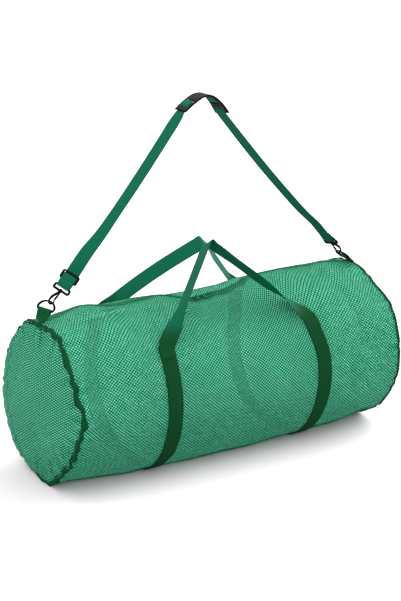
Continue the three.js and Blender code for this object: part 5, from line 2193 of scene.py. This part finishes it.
@dataclass
class ShoulderStrap:
    """Length of webbing from the slider round both eyes and through the pad, with its slider."""

    wardrobe: Wardrobe
    line: PadLine
    left: StrapEnd
    right: StrapEnd
    width: float = 32.0
    thick: float = 1.4
    offset: float = 2.9
    wrap: float = 3.3
    slider_at: float = 25.0
    stitch_pitch: float = 3.2
    left_open: tuple[float, float, float] = (0.17, -0.974, -0.15)
    left_sag: float = 6.0
    right_sag: float = 7.0

    def left_run(self, first: Array) -> tuple[list[Array], list[Array], Place]:
        """Stations from the sewn end at the slider, round the left eye and up to the pad.

        Args:
            first: Where the strap meets the pad.

        Returns:
            Places, directions across, and the slider's local axes.
        """
        bar, mid, wrap = self.left.bar, self.slider_at, self.wrap
        run = float(np.linalg.norm(first - bar))
        up = (first - bar) / run
        across = square_to(self.left.eye_across, up)
        front = np.cross(across, up)
        route = [
            (mid - 7, -2.7), (mid + 1, -2.7), (mid + 3.2, -2.0), (mid + 4, 0.0), (mid + 3.2, 2.0), (mid + 1, 2.8),
            (mid - 6, 2.9), (mid - 11, 3.4), (13, 5.6), (6, 5.0), (0, wrap), (-0.7 * wrap, 0.7 * wrap),
            (-wrap, 0.0), (-0.7 * wrap, -0.7 * wrap), (0, -wrap), (9, -4.4), (mid - 11, -5.4), (mid + 2, -5.4),
            (mid + 14, -5.0), (mid + 34, -2.8), (mid + 60, -1.0),
        ]
        above = [run * share for share in (0.3, 0.42, 0.56, 0.72, 0.86, 0.94, 0.98)]
        hang = np.array([up[2], 0, -up[0]]) * self.left_sag
        places, sides = [], []
        for s, h in route + [(s, 0.0) for s in above]:
            ease, last = float(smoothstep(s, mid + 6, run * 0.4)), float(smoothstep(s, run * 0.96, run))
            turned = across * (1 - ease) + square_to(self.left_open, up) * ease
            side = square_to(turned * (1 - last) + FRONTWARD * last, up)
            face = np.cross(side, up) if s > mid + 6 else front
            droop = math.sin(math.pi * s / run) if s in above else 0.0
            places.append(bar + up * s + face * h + hang * droop)
            sides.append(side)
        return places, sides, Place(bar + up * mid, across, up)

    def right_run(self, last: Array) -> tuple[list[Array], list[Array]]:
        """Stations from the pad down to the right eye, round it and back to the sewn end.

        Args:
            last: Where the strap leaves the pad.

        Returns:
            Places and directions across.
        """
        bar, wrap = self.right.bar, self.wrap
        run = float(np.linalg.norm(last - bar))
        up = (last - bar) / run
        side = square_to(self.right.eye_across, up)
        face = -np.cross(up, side)
        places, sides = [], []
        on_pad = self.line.across(np.array(self.line.length))
        hang = np.array([-up[2], 0, up[0]]) * self.right_sag
        for share in (0.94, 0.82, 0.62, 0.42, 0.24):
            turn = float(smoothstep(1 - share, 0, 0.3))
            places.append(bar + up * run * share + hang * math.sin(math.pi * share))
            sides.append(square_to(on_pad * (1 - turn) + side * turn, up))
        route = [
            (60, -0.3), (40, -0.9), (24, -1.4), (10, -2.3), (0, -wrap), (-0.7 * wrap, -0.7 * wrap), (-wrap, 0.0),
            (-0.7 * wrap, 0.7 * wrap), (0, wrap), (9, 2.2), (16, 1.2), (26, 0.8),
        ]
        for s, h in route:
            places.append(bar + up * s - face * h)
            sides.append(side)
        return places, sides

    def build(self) -> Piece:
        """Makes the strap, its sewn ends and the slider.

        Returns:
            The strap.
        """
        s = np.linspace(0, self.line.length, 61)
        near = np.minimum(s, self.line.length - s)
        over = smoothstep(near, *self.line.slots[0]) - smoothstep(near, *self.line.slots[1])
        on_pad = self.line.sample(s, self.offset * (2 * over - 1))
        left, left_sides, slider = self.left_run(on_pad[0])
        right, right_sides = self.right_run(on_pad[-1])
        places = np.vstack([left, on_pad, right])
        sides = np.vstack([left_sides, self.line.across(s), right_sides])
        ribbon = Ribbon(places, sides, self.width, self.thick, 7, 6.0)
        cloth = {"held": "hung", "rests_on": ["hook_eye_left", "hook_eye_right"]}
        piece = ribbon.piece("strap_webbing", self.wardrobe.strap, "webbing", "shoulder_strap", **cloth)
        seam = Draft()
        for back in (20.0, 12.0):
            stop = 1 - back / ribbon.length
            for lift in (0.7, -0.7):
                low, face = ribbon.edge(-0.8, stop - 0.004, stop, lift)
                high, _ = ribbon.edge(0.8, stop - 0.004, stop, lift)
                row = low[:1] + (high[:1] - low[:1]) * np.linspace(0, 1, 8)[:, None]
                stitches(seam, row, np.repeat(np.sign(lift) * face[:1], 8, axis=0), self.stitch_pitch)
        set_piece(seam.build("strap_stitches", self.wardrobe.thread), [])
        self.slider(slider)
        return piece

    def slider(self, place: Place) -> None:
        """Makes the three-bar slider.

        Args:
            place: Local axes of the slider.
        """
        draft = Draft()
        half_wide, half_tall, corner = 19.2, 9.2, 3.0
        points = rounded_frame(half_wide, half_tall, corner)
        broad = 1 + 0.5 * smoothstep(np.abs(points[:, 0]), half_wide - corner, half_wide)
        sweep(draft, place.world(points), place.heading((0, 0, 1)), Section(1.9, 1.9, 0.6), broad, closed=True)
        bar = np.stack([np.linspace(-18.4, 18.4, 9), np.zeros(9), np.zeros(9)], axis=1)
        sweep(draft, place.world(bar), place.heading((0, 0, 1)), Section(2.0, 1.4, 0.6))
        set_piece(draft.build("slider_three_bar", self.wardrobe.plastic, 45.0), ["strap_slider"])


@dataclass
class ShoulderPad:
    """Black ribbed pad threaded on the strap."""

    wardrobe: Wardrobe
    line: PadLine
    width: float = 46.0
    half: float = 1.35
    slot_half: float = 17.6
    rib: float = 6.2
    rib_across: float = 8.6

    def build(self) -> Piece:
        """Makes the pad with its slots, raised edges and grid of ribs.

        Returns:
            The pad.
        """
        length = self.line.length
        marks = [0.0, length]
        for low, high in self.line.slots:
            marks += [low, high, length - low, length - high]
        s = np.unique(np.round(np.concatenate([np.linspace(0, length, 170), marks]), 3))
        even = np.linspace(-self.width / 2, self.width / 2, 57)
        u = np.unique(np.concatenate([even, [-self.slot_half, self.slot_half]]))
        grid_s, grid_u = np.meshgrid(s, u, indexing="ij")
        lengthwise = 0.9 * np.cos(grid_u / self.rib_across * 2 * math.pi)
        rib = np.maximum(np.cos(grid_s / self.rib * 2 * math.pi), lengthwise)
        near = np.minimum(grid_s, length - grid_s)
        edge = np.minimum(near, self.width / 2 - np.abs(grid_u))
        frame = 1 - smoothstep(edge, 3.4, 4.6)
        thick = self.half + 0.45 * np.maximum(rib, 0) * (1 - frame) + 0.5 * frame * smoothstep(edge, 0.0, 1.0)
        thick = thick - 0.7 * (1 - smoothstep(edge, 0, 0.9))
        middle = self.line.sample(grid_s, np.zeros_like(grid_s))
        grid = middle + self.line.across(grid_s) * grid_u[..., None]
        ahead = np.gradient(middle[:, 0], axis=0)
        face = unit(np.cross(ahead, self.line.across(s)))
        normals = np.broadcast_to(face[:, None], grid.shape)
        mid_s = (s[1:] + s[:-1]) / 2
        mid_u = (u[1:] + u[:-1]) / 2
        gap = np.minimum(mid_s, length - mid_s)
        slotted = np.zeros(len(mid_s), bool)
        for low, high in self.line.slots:
            slotted |= (gap > low) & (gap < high)
        keep = ~(slotted[:, None] & (np.abs(mid_u) < self.slot_half)[None, :])
        uv = np.stack([grid_u, grid_s], axis=-1) * MM
        # Painted highlight: the tone marks the rib crests, away from the raised frame, to be painted grey.
        tone = smoothstep(rib, 0.5, 0.9) * (1 - frame)
        draft = Draft()
        slab(draft, grid, normals, thick, uv, keep, tone=tone)
        piece = draft.build("pad_ribbed", self.wardrobe.rubber, 50.0)
        set_piece(piece, ["shoulder_pad"])
        return piece


# Studio


@dataclass
class Studio:
    """Pale floor, soft light and the camera of the photograph."""

    wardrobe: Wardrobe
    eye: tuple[float, float, float] = (-2.2021, -3.3494, 1.518)
    aim: tuple[float, float, float] = (0.0194, 0.0412, 0.3347)
    focal_px: float = 1800.0
    image_long_px: float = 601.0
    sky: float = 2.2
    sun_power: float = 4.2
    sun_spread_deg: float = 50.0
    sun_from: tuple[float, float, float] = (1.5, 0.25, 1.0)

    def build(self) -> None:
        """Sets the stage."""
        mesh = bpy.data.meshes.new("floor")
        size = 40.0
        corners = [(-size, -size, 0), (size, -size, 0), (size, size, 0), (-size, size, 0)]
        mesh.from_pydata(corners, [], [(0, 1, 2, 3)])
        mesh.materials.append(self.wardrobe.floor)
        floor = bpy.data.objects.new("floor", mesh)
        scene = bpy.context.scene
        scene.collection.objects.link(floor)
        world = bpy.data.worlds.new("studio")
        world.use_nodes = True
        background = world.node_tree.nodes["Background"]
        background.inputs["Color"].default_value = (1.0, 1.0, 1.0, 1.0)
        background.inputs["Strength"].default_value = self.sky
        scene.world = world
        lamp = bpy.data.lights.new("overhead", "SUN")
        lamp.energy = self.sun_power
        lamp.angle = math.radians(self.sun_spread_deg)
        light = bpy.data.objects.new("overhead", lamp)
        light.rotation_euler = Vector(self.sun_from).to_track_quat("Z", "Y").to_euler()
        scene.collection.objects.link(light)
        scene.view_settings.view_transform = "Standard"
        scene.view_settings.look = "None"
        data = bpy.data.cameras.new("camera")
        data.sensor_width = 36.0
        data.lens = self.focal_px / self.image_long_px * data.sensor_width
        camera = bpy.data.objects.new("camera", data)
        camera.location = Vector(self.eye)
        camera.rotation_euler = (Vector(self.aim) - Vector(self.eye)).to_track_quat("-Z", "Y").to_euler()
        scene.collection.objects.link(camera)
        scene.camera = camera


def main() -> None:
    """Builds and dresses the bag, then the studio."""
    logging.basicConfig(level=logging.INFO, format="%(name)s %(message)s")
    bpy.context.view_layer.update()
    shape = BagShape()
    wardrobe = Wardrobe()
    NetBody(shape, wardrobe).build()
    for end in End:
        EndPanel(shape, wardrobe, end).build()
        EndBinding(shape, wardrobe, end, *((6.4, 2.2, 1.0) if end is End.LEFT else (4.4, 0.7, 0.6))).build()
        Band(shape, wardrobe, end).build()
    ZipFastener(shape, wardrobe).build()
    front = (Twist(0.02, 0.46, 0.86), Twist(0.0, 0.54, 1, 0.87))
    CarryHandle(shape, wardrobe, Side.FRONT, (-4, -26, 492), 2, 0.08, *front).build()
    back = (Twist(0.0, 0.22, -1), Twist(0.0, 0.25, -1, 0.78))
    CarryHandle(shape, wardrobe, Side.BACK, (18, 32, 479), 8, 0.08, *back).build()
    line = PadLine()
    left, right = StrapEnd.left(line.path[0]), StrapEnd.right()
    for strap_end in (left, right):
        RingAndTab(shape, wardrobe, strap_end).build()
        SnapHook(wardrobe, strap_end).build()
    ShoulderStrap(wardrobe, line, left, right).build()
    ShoulderPad(wardrobe, line).build()
    Studio(wardrobe).build()


if __name__ == "__main__":
    main()
